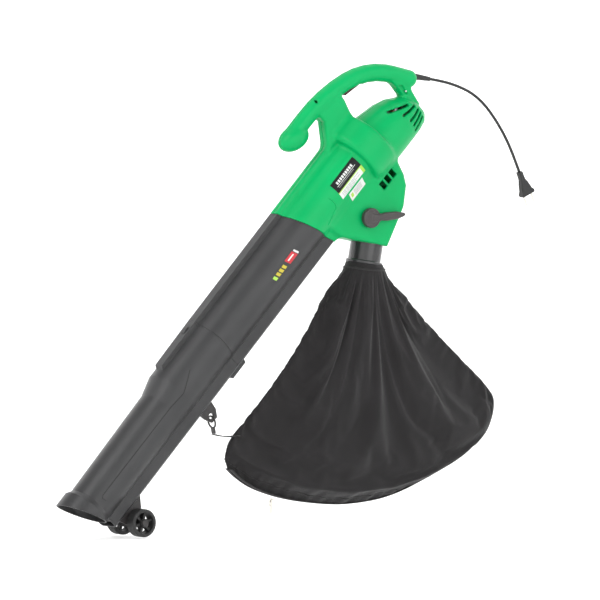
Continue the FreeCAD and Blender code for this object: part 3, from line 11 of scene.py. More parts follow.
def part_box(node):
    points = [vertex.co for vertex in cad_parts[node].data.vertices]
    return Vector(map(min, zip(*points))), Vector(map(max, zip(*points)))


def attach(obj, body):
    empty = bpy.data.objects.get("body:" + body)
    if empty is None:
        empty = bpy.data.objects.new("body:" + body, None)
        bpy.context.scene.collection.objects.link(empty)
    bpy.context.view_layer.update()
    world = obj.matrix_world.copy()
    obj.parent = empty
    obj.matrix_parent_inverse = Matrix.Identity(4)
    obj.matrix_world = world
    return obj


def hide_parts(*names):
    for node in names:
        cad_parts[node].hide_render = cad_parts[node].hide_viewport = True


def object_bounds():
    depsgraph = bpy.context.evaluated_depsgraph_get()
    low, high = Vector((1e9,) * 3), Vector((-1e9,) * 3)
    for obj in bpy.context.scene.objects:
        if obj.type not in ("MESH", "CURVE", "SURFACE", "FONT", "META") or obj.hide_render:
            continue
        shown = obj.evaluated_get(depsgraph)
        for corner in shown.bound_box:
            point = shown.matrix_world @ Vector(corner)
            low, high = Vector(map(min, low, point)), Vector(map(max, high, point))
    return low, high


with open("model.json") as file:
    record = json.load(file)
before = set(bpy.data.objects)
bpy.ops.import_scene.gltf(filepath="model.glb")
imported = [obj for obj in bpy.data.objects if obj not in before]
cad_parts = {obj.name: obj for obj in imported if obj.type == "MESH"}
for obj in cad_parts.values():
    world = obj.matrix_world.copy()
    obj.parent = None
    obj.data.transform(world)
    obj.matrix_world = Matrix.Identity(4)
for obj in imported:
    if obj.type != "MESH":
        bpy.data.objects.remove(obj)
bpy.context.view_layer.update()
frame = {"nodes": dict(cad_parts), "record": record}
nodes = frame["nodes"]
record = frame["record"]
scene = bpy.context.scene

TILT = math.radians(46)
ALONG = Vector((math.cos(TILT), 0, math.sin(TILT)))
OUT = Vector((-math.sin(TILT), 0, math.cos(TILT)))
ACROSS = Vector((0, 1, 0))
LEVEL = Vector((-0.322262, 0, -0.499261))


def spot(u, y, v):
    """A point given along, across and out from the tube's axis, in millimetres."""
    return LEVEL + (ALONG * u + ACROSS * y + OUT * v) / 1000


# ---------------------------------------------------------------- camera
AIM = Vector((-0.1782, -0.0943, -0.4253))
AZIMUTH = math.radians(-35)
ELEVATION = math.radians(4)
DISTANCE = 30.0
PICTURE = 1.194

back = Vector((math.sin(AZIMUTH) * math.cos(ELEVATION), -math.cos(AZIMUTH) * math.cos(ELEVATION),
               math.sin(ELEVATION)))
camera_data = bpy.data.cameras.new("camera")
camera_data.sensor_width = 36
camera_data.lens = 36 * DISTANCE / PICTURE
camera_data.clip_start = 0.1
camera_data.clip_end = 120
camera = bpy.data.objects.new("camera", camera_data)
camera.location = AIM + back * DISTANCE
camera.rotation_mode = "QUATERNION"
camera.rotation_quaternion = (-back).to_track_quat("-Z", "Y")
scene.collection.objects.link(camera)
scene.camera = camera


# ---------------------------------------------------------------- mesh helpers
def new_object(name, mesh, mat, body="housing"):
    """Shows a mesh as a piece that rides on a body."""
    made = bpy.data.objects.new(name, mesh)
    scene.collection.objects.link(made)
    if mat:
        mesh.materials.append(mat)
    mesh.polygons.foreach_set("use_smooth", [True] * len(mesh.polygons))
    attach(made, body)
    return made


def from_grid(name, rows, wrap=True, ends=False):
    """A mesh through rings of points, each ring the same length."""
    count = len(rows[0])
    points = [tuple(p) for row in rows for p in row]
    faces = []
    for i in range(len(rows) - 1):
        for j in range(count if wrap else count - 1):
            k = (j + 1) % count
            faces.append((i * count + j, i * count + k, (i + 1) * count + k, (i + 1) * count + j))
    if ends:
        faces.append(tuple(range(count))[::-1])
        faces.append(tuple((len(rows) - 1) * count + j for j in range(count)))
    mesh = bpy.data.meshes.new(name)
    mesh.from_pydata(points, [], faces)
    mesh.update()
    return mesh


def subdivided(thing, levels):
    modifier = thing.modifiers.new("smooth", "SUBSURF")
    modifier.levels = levels
    modifier.render_levels = levels
    return thing


# ---------------------------------------------------------------- cord
CORD_POINTS = [(527.4, 498.0), (558, 492.9), (598, 481.5), (634, 465.5), (663, 443.0), (690, 412.0),
               (714, 377.5), (734, 340.0), (750, 303.0)]
CORD_WIDTH = 0.0058
CORD_SIDES = 20

route = bpy.data.curves.new("cord_route", "CURVE")
route.dimensions = "3D"
route_line = route.splines.new("NURBS")
route_line.points.add(len(CORD_POINTS) - 1)
for point, (x, z) in zip(route_line.points, CORD_POINTS):
    point.co = (x / 1000 + LEVEL.x, 0, z / 1000 + LEVEL.z, 1)
route_line.order_u = 3
route_line.use_endpoint_u = True
route_line.resolution_u = 16
route_object = bpy.data.objects.new("cord_route", route)
scene.collection.objects.link(route_object)
route_seen = route_object.evaluated_get(bpy.context.evaluated_depsgraph_get())
route_shape = bpy.data.meshes.new_from_object(route_seen)
cord_path = [v.co.copy() for v in route_shape.vertices]
bpy.data.objects.remove(route_object)


def cord_ring(i):
    """A ring of points round the cord's route, which lies in one upright plane."""
    run = (cord_path[min(i + 1, len(cord_path) - 1)] - cord_path[max(i - 1, 0)]).normalized()
    across_run = run.cross(ACROSS)
    return [cord_path[i] + (across_run * math.cos(a) + ACROSS * math.sin(a)) * CORD_WIDTH / 2
            for a in np.linspace(0, 2 * math.pi, CORD_SIDES, endpoint=False)]


flex_mesh = from_grid("flex", [cord_ring(i) for i in range(len(cord_path))], ends=True)
flex = new_object("flex", flex_mesh, None)
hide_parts("power_cord")


# ---------------------------------------------------------------- materials
def new_material(name, colour, roughness, metallic=0.0, coat=0.0):
    """A principled material whose plain values sit on the shader itself."""
    mat = bpy.data.materials.new(name)
    mat.use_nodes = True
    shader = mat.node_tree.nodes["Principled BSDF"]
    shader.inputs["Base Color"].default_value = (*colour, 1)
    shader.inputs["Roughness"].default_value = roughness
    shader.inputs["Metallic"].default_value = metallic
    shader.inputs["Coat Weight"].default_value = coat
    return mat, shader


def link(mat, source, target):
    mat.node_tree.links.new(source, target)


def add(mat, kind, **values):
    made = mat.node_tree.nodes.new(kind)
    for name, value in values.items():
        made.inputs[name.replace("_", " ")].default_value = value
    return made


def place_node(mat):
    return mat.node_tree.nodes.new("ShaderNodeTexCoord").outputs["Object"]


def mottled(mat, shader, first, second, scale, detail=4.0):
    """Base colour that drifts between two close colours."""
    cloud = add(mat, "ShaderNodeTexNoise", Scale=scale, Detail=detail)
    link(mat, place_node(mat), cloud.inputs["Vector"])
    ramp = mat.node_tree.nodes.new("ShaderNodeValToRGB")
    ramp.color_ramp.elements[0].position = 0.32
    ramp.color_ramp.elements[1].position = 0.68
    ramp.color_ramp.elements[0].color = (*first, 1)
    ramp.color_ramp.elements[1].color = (*second, 1)
    link(mat, cloud.outputs["Fac"], ramp.inputs["Fac"])
    link(mat, ramp.outputs["Color"], shader.inputs["Base Color"])


def worn(mat, shader, low, high, scale):
    """Roughness that varies over the surface."""
    cloud = add(mat, "ShaderNodeTexNoise", Scale=scale, Detail=5.0)
    link(mat, place_node(mat), cloud.inputs["Vector"])
    spread = add(mat, "ShaderNodeMapRange", To_Min=low, To_Max=high)
    link(mat, cloud.outputs["Fac"], spread.inputs["Value"])
    link(mat, spread.outputs["Result"], shader.inputs["Roughness"])


def grained(mat, shader, scale, strength, depth, edge=0.0):
    """Fine moulding grain, with softened edges where edge is a radius."""
    grain = add(mat, "ShaderNodeTexNoise", Scale=scale, Detail=3.0)
    link(mat, place_node(mat), grain.inputs["Vector"])
    bump = add(mat, "ShaderNodeBump", Strength=strength, Distance=depth)
    link(mat, grain.outputs["Fac"], bump.inputs["Height"])
    if edge:
        bevel = mat.node_tree.nodes.new("ShaderNodeBevel")
        bevel.samples = 8
        bevel.inputs["Radius"].default_value = edge
        link(mat, bevel.outputs["Normal"], bump.inputs["Normal"])
    link(mat, bump.outputs["Normal"], shader.inputs["Normal"])


def plastic(name, first, second, low, high, grain, edge, coat=0.0):
    mat, shader = new_material(name, first, low, coat=coat)
    mottled(mat, shader, first, second, 9.0)
    worn(mat, shader, low, high, 26.0)
    shader.inputs["Specular IOR Level"].default_value = 0.32
    grained(mat, shader, grain, 0.22, 0.0004, edge)
    return mat


def woven(name, first, second, pitch, depth):
    """Cloth with a plain weave: crossing bands of thread."""
    mat, shader = new_material(name, first, 0.86)
    mottled(mat, shader, first, second, 14.0)
    shader.inputs["Specular IOR Level"].default_value = 0.25
    shader.inputs["Sheen Weight"].default_value = 0.14
    shader.inputs["Sheen Roughness"].default_value = 0.45
    heights = []
    for axis in ("X", "Z"):
        wave = add(mat, "ShaderNodeTexWave", Scale=1 / pitch, Distortion=0.6, Detail=1.0)
        wave.bands_direction = axis
        link(mat, place_node(mat), wave.inputs["Vector"])
        heights.append(wave.outputs["Fac"])
    weave = mat.node_tree.nodes.new("ShaderNodeMath")
    weave.operation = "MULTIPLY"
    link(mat, heights[0], weave.inputs[0])
    link(mat, heights[1], weave.inputs[1])
    fine = add(mat, "ShaderNodeBump", Strength=0.35, Distance=depth)
    link(mat, weave.outputs["Value"], fine.inputs["Height"])
    slub = add(mat, "ShaderNodeTexNoise", Scale=210.0, Detail=5.0)
    link(mat, place_node(mat), slub.inputs["Vector"])
    soft = add(mat, "ShaderNodeBump", Strength=0.25, Distance=0.0012)
    link(mat, slub.outputs["Fac"], soft.inputs["Height"])
    link(mat, fine.outputs["Normal"], soft.inputs["Normal"])
    link(mat, soft.outputs["Normal"], shader.inputs["Normal"])
    return mat


def metal(name, first, second, low, high, scale):
    mat, shader = new_material(name, first, low, metallic=1.0)
    mottled(mat, shader, first, second, 60.0)
    worn(mat, shader, low, high, scale)
    grained(mat, shader, scale * 6, 0.15, 0.0002, 0.0005)
    return mat


GREEN = plastic("green_shell", (0.0, 0.31, 0.085), (0.0, 0.345, 0.098), 0.3, 0.4, 900.0, 0.0)
BLACK = plastic("black_tube", (0.026, 0.026, 0.027), (0.034, 0.034, 0.035), 0.34, 0.45, 1300.0, 0.0012)
DARK = plastic("dark_fittings", (0.026, 0.024, 0.024), (0.036, 0.033, 0.033), 0.34, 0.46, 1100.0, 0.0008)
LEVER = plastic("lever_plastic", (0.040, 0.036, 0.036), (0.055, 0.049, 0.049), 0.3, 0.4, 1100.0, 0.0012)
TRIGGER = plastic("trigger_plastic", (0.030, 0.008, 0.008), (0.042, 0.012, 0.011), 0.34, 0.46, 900.0, 0.001)
TYRE = plastic("tyre_rubber", (0.018, 0.018, 0.018), (0.028, 0.028, 0.028), 0.5, 0.68, 700.0, 0.0008)
CORD = plastic("cord_rubber", (0.014, 0.014, 0.014), (0.022, 0.022, 0.022), 0.42, 0.55, 1500.0, 0.0)
CLOTH = woven("bag_cloth", (0.0105, 0.0095, 0.0100), (0.0150, 0.0140, 0.0146), 0.0016, 0.0004)
WEBBING = woven("webbing", (0.015, 0.014, 0.014), (0.026, 0.025, 0.025), 0.0022, 0.0006)
STEEL = metal("steel", (0.52, 0.52, 0.53), (0.62, 0.62, 0.63), 0.25, 0.42, 60.0)
NICKEL = metal("nickel", (0.62, 0.60, 0.55), (0.72, 0.70, 0.66), 0.16, 0.3, 60.0)
ALLOY = metal("alloy", (0.58, 0.59, 0.60), (0.68, 0.69, 0.70), 0.35, 0.5, 60.0)
COPPER = metal("copper", (0.62, 0.32, 0.16), (0.74, 0.42, 0.22), 0.25, 0.4, 60.0)
PAPER = plastic("label_film", (0.55, 0.57, 0.55), (0.62, 0.64, 0.62), 0.3, 0.4, 1500.0, 0.0)

BY_SLOT = {"green": GREEN, "black": BLACK, "dark": DARK, "tyre": TYRE, "cloth": CLOTH, "webbing": WEBBING,
           "cord": CORD, "steel": STEEL, "nickel": NICKEL, "alloy": ALLOY, "copper": COPPER, "paper": PAPER}
for part in record["subparts"]:
    shown = nodes[part["node"]]
    shown.data.materials.clear()
    shown.data.materials.append(BY_SLOT[part["material_slot"]])
GREEN.node_tree.nodes["Principled BSDF"].inputs["Specular IOR Level"].default_value = 0.16
GLOSSY = plastic("neck_plastic", (0.020, 0.020, 0.021), (0.027, 0.027, 0.028), 0.16, 0.26, 900.0, 0.0008,
                 coat=0.3)
# Near-black material for a thin bead that is painted shade along a groove of the lower tube.
PAINTED_GROOVE_SHADE = plastic("groove_shade", (0.006, 0.006, 0.006), (0.010, 0.010, 0.010), 0.6, 0.7, 900.0, 0.0)
nodes["outlet_neck"].data.materials[0] = GLOSSY
nodes["bag_collar"].data.materials[0] = GLOSSY
nodes["selector_lever"].data.materials[0] = LEVER
nodes["trigger"].data.materials[0] = TRIGGER
flex_mesh.materials.append(CORD)


# ---------------------------------------------------------------- moulded housing
# The shells are drawn as a distance field in the tube's frame, in millimetres:
# u along it, y across, v out of it.
CELL = 2.0
LEVER_CELL = 1.0
SHELL_LOW = (256.0, -80.0, -186.0)
SHELL_HIGH = (716.0, 80.0, 168.0)
BARREL = 54.2
WALL = 4.6
ARCH = [(416, 137.5), (460, 137.5), (491.4, 136.1), (522.6, 131.8), (553.3, 124.7), (583.2, 114.9), (605.5, 104.4),
        (626.2, 90.8), (644.6, 74.4), (660.2, 55.3), (668.2, 42.8), (689.3, 6.5)]
WEB = [(447, 56), (484, 104), (484, 134), (552, 120), (549, 98), (538, 62), (500, 56)]
LEG = [(655, 36), (684, 12), (674, -14), (668, -44), (640, -38), (652, 2)]
BOX = [(330, -30), (335, -72), (398, -171), (458, -153), (483, -145), (518, -120), (530, -100), (541, -62),
       (541, -30)]
MOTOR = [(490, -15, 61), (528, -16, 61), (560, -20, 58.5), (600, -26, 53.5), (625, -32, 48), (645, -39, 39),
         (657, -45, 27), (663, -50, 13)]
LOUVRES = [(592, 15, 637, -12), (607, -11, 646, -25), (611, -30, 646, -35), (611, -43, 644, -43),
           (609, -55, 641, -52)]
SCREW_SEATS = [(466, 137), (480, 78), (545, 110), (412, -152), (505, -108)]
SEAT_DEPTH = 8


def blended(a, b, reach):
    """Smallest of two distances, with the inside corner filled over the given reach."""
    mix = np.clip(0.5 + 0.5 * (b - a) / reach, 0, 1)
    return b * (1 - mix) + a * mix - reach * mix * (1 - mix)


def carved(a, b, reach=1.0):
    """What is left of a when b is taken away."""
    return -blended(-a, b, reach)


def to_polygon(u, v, corners):
    """Signed distance to a closed outline."""
    near = np.full(np.broadcast(u, v).shape, 1e9)
    inside = np.zeros(near.shape, bool)
    for (au, av), (bu, bv) in zip(corners, corners[1:] + corners[:1]):
        du, dv = bu - au, bv - av
        part = np.clip(((u - au) * du + (v - av) * dv) / (du * du + dv * dv), 0, 1)
        near = np.minimum(near, (u - au - du * part) ** 2 + (v - av - dv * part) ** 2)
        crossing = (av > v) != (bv > v)
        with np.errstate(divide="ignore", invalid="ignore"):
            where = au + (v - av) * du / dv
        inside ^= crossing & (u < where)
    return np.where(inside, -1, 1) * np.sqrt(near)


def to_line(u, v, points):
    """Distance to an open run of points."""
    near = np.full(np.broadcast(u, v).shape, 1e9)
    for (au, av), (bu, bv) in zip(points, points[1:]):
        du, dv = bu - au, bv - av
        part = np.clip(((u - au) * du + (v - av) * dv) / (du * du + dv * dv), 0, 1)
        near = np.minimum(near, (u - au - du * part) ** 2 + (v - av - dv * part) ** 2)
    return np.sqrt(near)


def slab(flat, y, half, rounding):
    """A flat outline given thickness, with rounded rims."""
    side = np.abs(y) - half + rounding
    face = flat + rounding
    corner = np.hypot(np.maximum(side, 0), np.maximum(face, 0))
    return np.minimum(np.maximum(side, face), 0) + corner - rounding


def brick(u, y, v, centre, half, rounding):
    gaps = [np.abs(value - middle) - size + rounding for value, middle, size in zip((u, y, v), centre, half)]
    outside = np.sqrt(sum(np.maximum(g, 0) ** 2 for g in gaps))
    return outside + np.minimum(np.maximum(np.maximum(gaps[0], gaps[1]), gaps[2]), 0) - rounding


def can(u, radial, start, end, radius, rounding):
    """A round tin along the tube."""
    ends = np.abs(u - (start + end) / 2) - (end - start) / 2 + rounding
    side = radial - radius + rounding
    corner = np.hypot(np.maximum(ends, 0), np.maximum(side, 0))
    return np.minimum(np.maximum(ends, side), 0) + corner - rounding


def motor_cover(u, y, v):
    stations = np.array(MOTOR, float)
    middle = np.interp(u, stations[:, 0], stations[:, 1])
    radius = np.interp(u, stations[:, 0], stations[:, 2])
    slope = np.clip(np.gradient(stations[:, 2], stations[:, 0]), -2.5, 0)
    lean = 1 / np.sqrt(1 + np.interp(u, stations[:, 0], slope) ** 2)
    body = (np.hypot(y, v - middle) - radius) * lean
    return np.maximum(np.maximum(body, u - 662), 490 - u)


def bulb(u, y, v):
    turn = math.radians(20)
    along = (u - 415) * math.cos(turn) - (v - 131) * math.sin(turn)
    out = (u - 415) * math.sin(turn) + (v - 131) * math.cos(turn)
    first = np.sqrt((along / 35.5) ** 2 + (y / 24) ** 2 + (out / 24) ** 2)
    second = np.sqrt((along / 1260) ** 2 + (y / 576) ** 2 + (out / 576) ** 2)
    egg = first * (first - 1) / np.maximum(second, 1e-6)
    rim = ((u - 429) * 40 + (v - 150) * 27) / 48.3
    return -blended(-egg, -rim, 3)


def outside_of_shell(u, y, v):
    """The whole housing's outer surface, before its openings."""
    barrel = can(u, np.hypot(y, v), 250, 500, BARREL, 2)
    rib = brick(u, y, v, (356, 0, 44), (114, 13, 20), 5)
    keel = brick(u, y, v, (365, 0, -50), (110, 28, 25), 8)
    duct = blended(blended(barrel, rib, 7), keel, 9)
    box = slab(to_polygon(u, v, BOX), y, 40, 9)
    duct = blended(duct, box, 12)
    fan = can(u, np.hypot(y, v - 2), 474, 536, 72, 10)
    duct = blended(duct, fan, 7)
    duct = blended(duct, motor_cover(u, y, v), 9)
    bar = np.hypot(to_line(u, v, ARCH), y) - 18
    web = slab(to_polygon(u, v, WEB), y, 16.5, 7)
    grip = blended(bar, web, 5)
    grip = blended(grip, slab(to_polygon(u, v, LEG), y, 13, 5), 7)
    grip = blended(grip, bulb(u, y, v), 1.5)
    spike = slab(to_polygon(u, v, [(650, 17), (657, 14), (656, -10), (651, -6)]), y, 5, 1)
    grip = np.minimum(grip, spike)
    return blended(duct, grip, 9)


def shell_field(u, y, v):
    """Distance to the hollow housing, openings cut."""
    outer = outside_of_shell(u, y, v)
    cover = np.clip((u - 582) / 10, 0, 1) * np.clip((30 - v) / 10, 0, 1)
    inner = outer + WALL + 5 * cover
    inner = np.where(v > 95, np.maximum(inner, 446 - u), inner)
    solid = carved(outer, inner, 0.5)
    bore = can(u, np.hypot(y, v), 200, 470, 51, 0.5)
    solid = carved(solid, bore)
    solid = np.maximum(solid, (275 + (63 - v) * 0.3522 - u) * 0.943)
    slot = to_polygon(u, v, [(556, 116), (556, 95), (604, 80), (606, 106)])
    solid = carved(solid, slab(slot, y, 8.4, 0.5))
    for su, sv, eu, ev in LOUVRES:
        run = to_line(u, v, [(su, sv), (eu, ev)])
        solid = carved(solid, np.maximum(run - 2.7, 24 - np.abs(y)))
    solid = carved(solid, brick(u, np.abs(y), v, (495, 45, -75.5), (25, 7, 9.5), 2), 1.5)
    for index in range(3):
        window = brick(u, np.abs(y), v, (479 + 16 * index, 45, -75.5), (6, 12, 8.5), 1)
        solid = carved(solid, window)
    for rib_u in (471, 487, 503, 519):
        solid = np.minimum(solid, brick(u, np.abs(y), v, (rib_u, 35.5, -75.5), (2.2, 2.2, 10), 0.5))
    tilt = math.radians(33.5)
    down_u, down_v = -math.cos(tilt), -math.sin(tilt)
    far = (u - 382.5) * down_v - (v + 149) * down_u
    along = (u - 382.5) * down_u + (v + 149) * down_v
    solid = carved(solid, np.maximum(np.hypot(far, y) - 33.4, -along - 12))
    hole = np.hypot(u - 500, v - 147) - 3
    solid = carved(solid, np.maximum(hole, np.abs(y) - 40))
    notch = to_polygon(u, v, [(657, 22), (665, 15), (662, -8), (656, -2)])
    solid = carved(solid, slab(notch, np.abs(y) - 13, 4, 0.5))
    hub = np.maximum(np.hypot(u - 407, v + 94) - 4.2, y + 30)
    solid = carved(solid, hub)
    for su, sv in SCREW_SEATS:
        solid = np.minimum(solid, np.maximum(np.hypot(u - su, v - sv) - 6.4, outer + 0.4))
    for su, sv in SCREW_SEATS:
        solid = carved(solid, np.maximum(np.hypot(u - su, v - sv) - 3.9, SEAT_DEPTH - y))
    return solid


def net(field, low, high, cell):
    """Surface net of a field's zero level, pulled onto the field itself."""
    sides = [np.arange(a, b + cell, cell) for a, b in zip(low, high)]
    u, y, v = sides[0][:, None, None], sides[1][None, :, None], sides[2][None, None, :]
    value = np.broadcast_to(field(u, y, v), [len(s) for s in sides]).astype(np.float32)
    inside = value < 0
    shape = [n - 1 for n in value.shape]
    total = np.zeros((*shape, 3), np.float32)
    count = np.zeros(shape, np.float32)
    corners = [(i, j, k) for i in (0, 1) for j in (0, 1) for k in (0, 1)]
    
    def crop(grid, c):
        return grid[c[0]:c[0] + shape[0], c[1]:c[1] + shape[1], c[2]:c[2] + shape[2]]

    for a in corners:
        for axis in range(3):
            if a[axis]:
                continue
            b = tuple(x + (i == axis) for i, x in enumerate(a))
            va, vb = crop(value, a), crop(value, b)
            cut = (va < 0) != (vb < 0)
            part = np.where(cut, va / np.where(cut, va - vb, 1), 0)
            for i in range(3):
                total[..., i] += np.where(cut, a[i] + (part if i == axis else 0), 0)
            count += cut
    used = count > 0
    number = np.full(shape, -1)
    number[used] = np.arange(int(used.sum()))
    where = np.argwhere(used)
    points = (where + total[used] / count[used][:, None]) * cell + np.array([s[0] for s in sides])
    quads = []
    for axis in range(3):
        one, two = [i for i in range(3) if i != axis]
        first = [slice(None)] * 3
        second = [slice(None)] * 3
        first[axis] = slice(0, -1)
        second[axis] = slice(1, None)
        change = inside[tuple(first)] != inside[tuple(second)]
        flip = inside[tuple(first)]
        spots = np.argwhere(change)
        keep = (spots[:, one] > 0) & (spots[:, two] > 0) & (spots[:, one] < value.shape[one] - 1) \
            & (spots[:, two] < value.shape[two] - 1)
        spots = spots[keep]
        ring = []
        for da, db in ((1, 1), (0, 1), (0, 0), (1, 0)):
            cellno = spots.copy()
            cellno[:, one] -= da
            cellno[:, two] -= db
            ring.append(number[tuple(cellno.T)])
        quad = np.stack(ring, axis=1)
        turned = flip[tuple(spots.T)] ^ (axis == 1)
        quad[~turned] = quad[~turned][:, ::-1]
        quads.append(quad)
    points = points.astype(float)
    for _ in range(3):
        here = field(*points.T)
        step = 0.4
        slope = np.stack([(field(*(points + step * np.eye(3)[i]).T) - field(*(points - step * np.eye(3)[i]).T))
                          / (2 * step) for i in range(3)], axis=1)
        size = np.maximum((slope ** 2).sum(axis=1, keepdims=True), 0.25)
        points -= np.clip(here[:, None] * slope / size, -0.7 * cell, 0.7 * cell)
    return points, np.concatenate(quads)


def to_frame(points):
    """Tube-frame millimetres to metres in the shared frame."""
    frame_axes = np.array([ALONG, ACROSS, OUT])
    return points @ frame_axes / 1000 + np.array(LEVEL)


def net_mesh(name, field, low, high, cell):
    """A mesh of a field's zero level, in the shared frame."""
    points, quads = net(field, low, high, cell)
    mesh = bpy.data.meshes.new(name)
    mesh.from_pydata([tuple(p) for p in to_frame(points)], [], [tuple(int(i) for i in q) for q in quads])
    mesh.update()
    return mesh


def housing_shell(name, side, replaced):
    """One moulded half: side is -1 for the near half and 1 for the far one."""
    def half_field(u, y, v):
        return np.maximum(shell_field(u, y, v), 0.3 - side * y)
    low = list(SHELL_LOW)
    high = list(SHELL_HIGH)
    if side < 0:
        high[1] = 2.0
    else:
        low[1] = -2.0
    made = new_object(name, net_mesh(name, half_field, low, high, CELL), GREEN)
    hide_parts(replaced)
    return made


housing_shell("shell_near", -1, "housing_left")
housing_shell("shell_far", 1, "housing_right")


LEVER_OUTLINE = [(0, -8), (16, -6.5), (34, -8.5), (60, -7.5), (76, -3.5), (81, 0), (78, 4), (60, 8), (34, 8.5),
                 (16, 6.5), (0, 8)]


def lever_field(u, y, v):
    """Round hub with a ring groove and a waisted pointed arm."""
    way_u, way_v = math.cos(math.radians(43)), -math.sin(math.radians(43))
    along = (u - 407) * way_u + (v + 94) * way_v
    aside = -(u - 407) * way_v + (v + 94) * way_u
    radial = np.hypot(u - 407, v + 94)
    arm = slab(to_polygon(along, aside, LEVER_OUTLINE), y + 51.0, 5.2, 3.6)
    hub = can(y, radial, -53.5, -42, 20, 2.5)
    hub = carved(hub, np.hypot(radial - 15.0, y + 54.2) - 1.5, 0.8)
    return blended(hub, arm, 3.5)


lever_cell = LEVER_CELL * 1
lever_mesh = net_mesh("lever", lever_field, (380, -60, -165), (480, -38, -66), lever_cell)
lever_piece = new_object("lever_knob", lever_mesh, LEVER, "selector")
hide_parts("selector_lever")


# ---------------------------------------------------------------- labels
BLACK_FILM = plastic("label_black", (0.004, 0.004, 0.005), (0.007, 0.007, 0.008), 0.25, 0.35, 1500.0, 0.0)
LIME_FILM = plastic("label_lime", (0.30, 0.52, 0.06), (0.34, 0.56, 0.08), 0.3, 0.4, 1500.0, 0.0)
GREY_FILM = plastic("label_grey", (0.16, 0.17, 0.17), (0.21, 0.22, 0.22), 0.3, 0.4, 1500.0, 0.0)
AMBER_FILM = plastic("label_amber", (0.42, 0.36, 0.03), (0.47, 0.40, 0.04), 0.35, 0.45, 1500.0, 0.0)
RED_FILM = plastic("label_red", (0.42, 0.02, 0.03), (0.48, 0.03, 0.04), 0.35, 0.45, 1500.0, 0.0)
BLACK_FILM.node_tree.nodes["Principled BSDF"].inputs["Specular IOR Level"].default_value = 0.15


def film(name, field, start, length, top_deg, low_deg, radius, pattern, mats, replaced):
    """A thin printed label wrapped on a round wall; pattern gives a material number or None for each cell."""
    columns, lines = len(pattern[0]), len(pattern)
    us = np.linspace(start, start + length, columns + 1)
    angles = np.radians(np.linspace(top_deg, low_deg, lines + 1))
    u = np.repeat(us[None, :], lines + 1, axis=0)
    angle = np.repeat(angles[:, None], columns + 1, axis=1)
    reach = np.full(u.shape, float(radius))
    if field:
        for _ in range(6):
            reach += 0.35 - field(u, -reach * np.cos(angle), reach * np.sin(angle))
    spots = np.stack([u, -reach * np.cos(angle), reach * np.sin(angle)], axis=-1).reshape(-1, 3)
    faces, kinds = [], []
    for i in range(lines):
        for j in range(columns):
            if pattern[i][j] is None:
                continue
            a = i * (columns + 1) + j
            faces.append((a, a + columns + 1, a + columns + 2, a + 1))
            kinds.append(pattern[i][j])
    mesh = bpy.data.meshes.new(name)
    mesh.from_pydata([tuple(p) for p in to_frame(spots)], [], faces)
    for mat in mats:
        mesh.materials.append(mat)
    mesh.polygons.foreach_set("material_index", kinds)
    mesh.polygons.foreach_set("use_smooth", [True] * len(faces))
    mesh.update()
    made = bpy.data.objects.new(name, mesh)
    scene.collection.objects.link(made)
    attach(made, "housing")
    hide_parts(replaced)
    return made


def rating_pattern():
    """Dark upper field with pale bars, a lime line and a pale lower field with grey lines."""
    grid = [[0] * 78 for _ in range(42)]
    for i in range(42):
        for j in range(78):
            if 6 <= i <= 11 and 12 <= j <= 64 and j % 6 < 4:
                grid[i][j] = 1
            if i == 14 and 8 <= j <= 68:
                grid[i][j] = 1
            if 17 <= i <= 18 and 10 <= j <= 60 and j % 3:
                grid[i][j] = 3
            if i >= 25:
                grid[i][j] = 2 if i < 27 or j > 70 else 1
            if i in (30, 33, 36, 39) and 6 <= j <= 62 - (i % 2) * 14 and j % 9:
                grid[i][j] = 3
    return grid


def notice_pattern():
    grid = [[1] * 46 for _ in range(21)]
    for i in range(21):
        for j in range(46):
            if i in (4, 7, 10, 13, 16) and 14 <= j <= 40 - (i % 3) * 3:
                grid[i][j] = 3
            if 5 <= i <= 15 and 4 <= j <= 10:
                grid[i][j] = 2
    return grid


def decal_pattern():
    """Plain bars of colour with bare tube between them."""
    grid = [[None] * 92 for _ in range(28)]
    for i in range(28):
        for j in range(92):
            lean = j - (i - 14) * 0.35
            if 9 <= i <= 18 and 6 <= lean <= 13:
                grid[i][j] = 2
            if 9 <= i <= 18 and 17 <= lean <= 44 and int(lean - 17) % 10 < 7:
                grid[i][j] = 4
            if 6 <= i <= 20 and 52 <= lean <= 78:
                grid[i][j] = 5
            if 11 <= i <= 13 and 56 <= lean <= 74:
                grid[i][j] = 1
            if 7 <= i <= 19 and 80 <= lean <= 84:
                grid[i][j] = 1
    return grid


FILMS = (BLACK_FILM, PAPER, LIME_FILM, GREY_FILM, AMBER_FILM, RED_FILM)
film("rating_film", outside_of_shell, 386, 78, 28.5, -15, BARREL, rating_pattern(), FILMS, "rating_label")
film("notice_film", outside_of_shell, 403, 46, -20.4, -42.4, BARREL, notice_pattern(), FILMS, "notice_label")
film("tube_film", None, 152, 92, 14, -16, 53.6, decal_pattern(), FILMS, "tube_decal")

# ---------------------------------------------------------------- dust bag
# Outline of the hanging bag as (x, z) millimetres from the grip: down each side, then along the bottom.
BAG_LEFT = [(9, -358), (5, -368), (-12, -386), (-33, -408), (-66, -452), (-131, -543), (-196, -621), (-245, -669),
            (-281, -703), (-296, -738), (-290, -762)]
BAG_BOTTOM = [(-290, -762), (-270, -781), (-228, -808), (-155, -831), (-66, -845), (8, -849), (105, -838),
              (211, -797), (292, -760), (333, -720)]
BAG_RIGHT = [(80, -367), (86, -376), (99, -394), (122, -420), (170, -468), (252, -545), (354, -633), (364, -655),
             (356, -686), (333, -720)]
BAG_COLUMNS = 224
BAG_ROWS = 104
BAG_FRAMES = 22
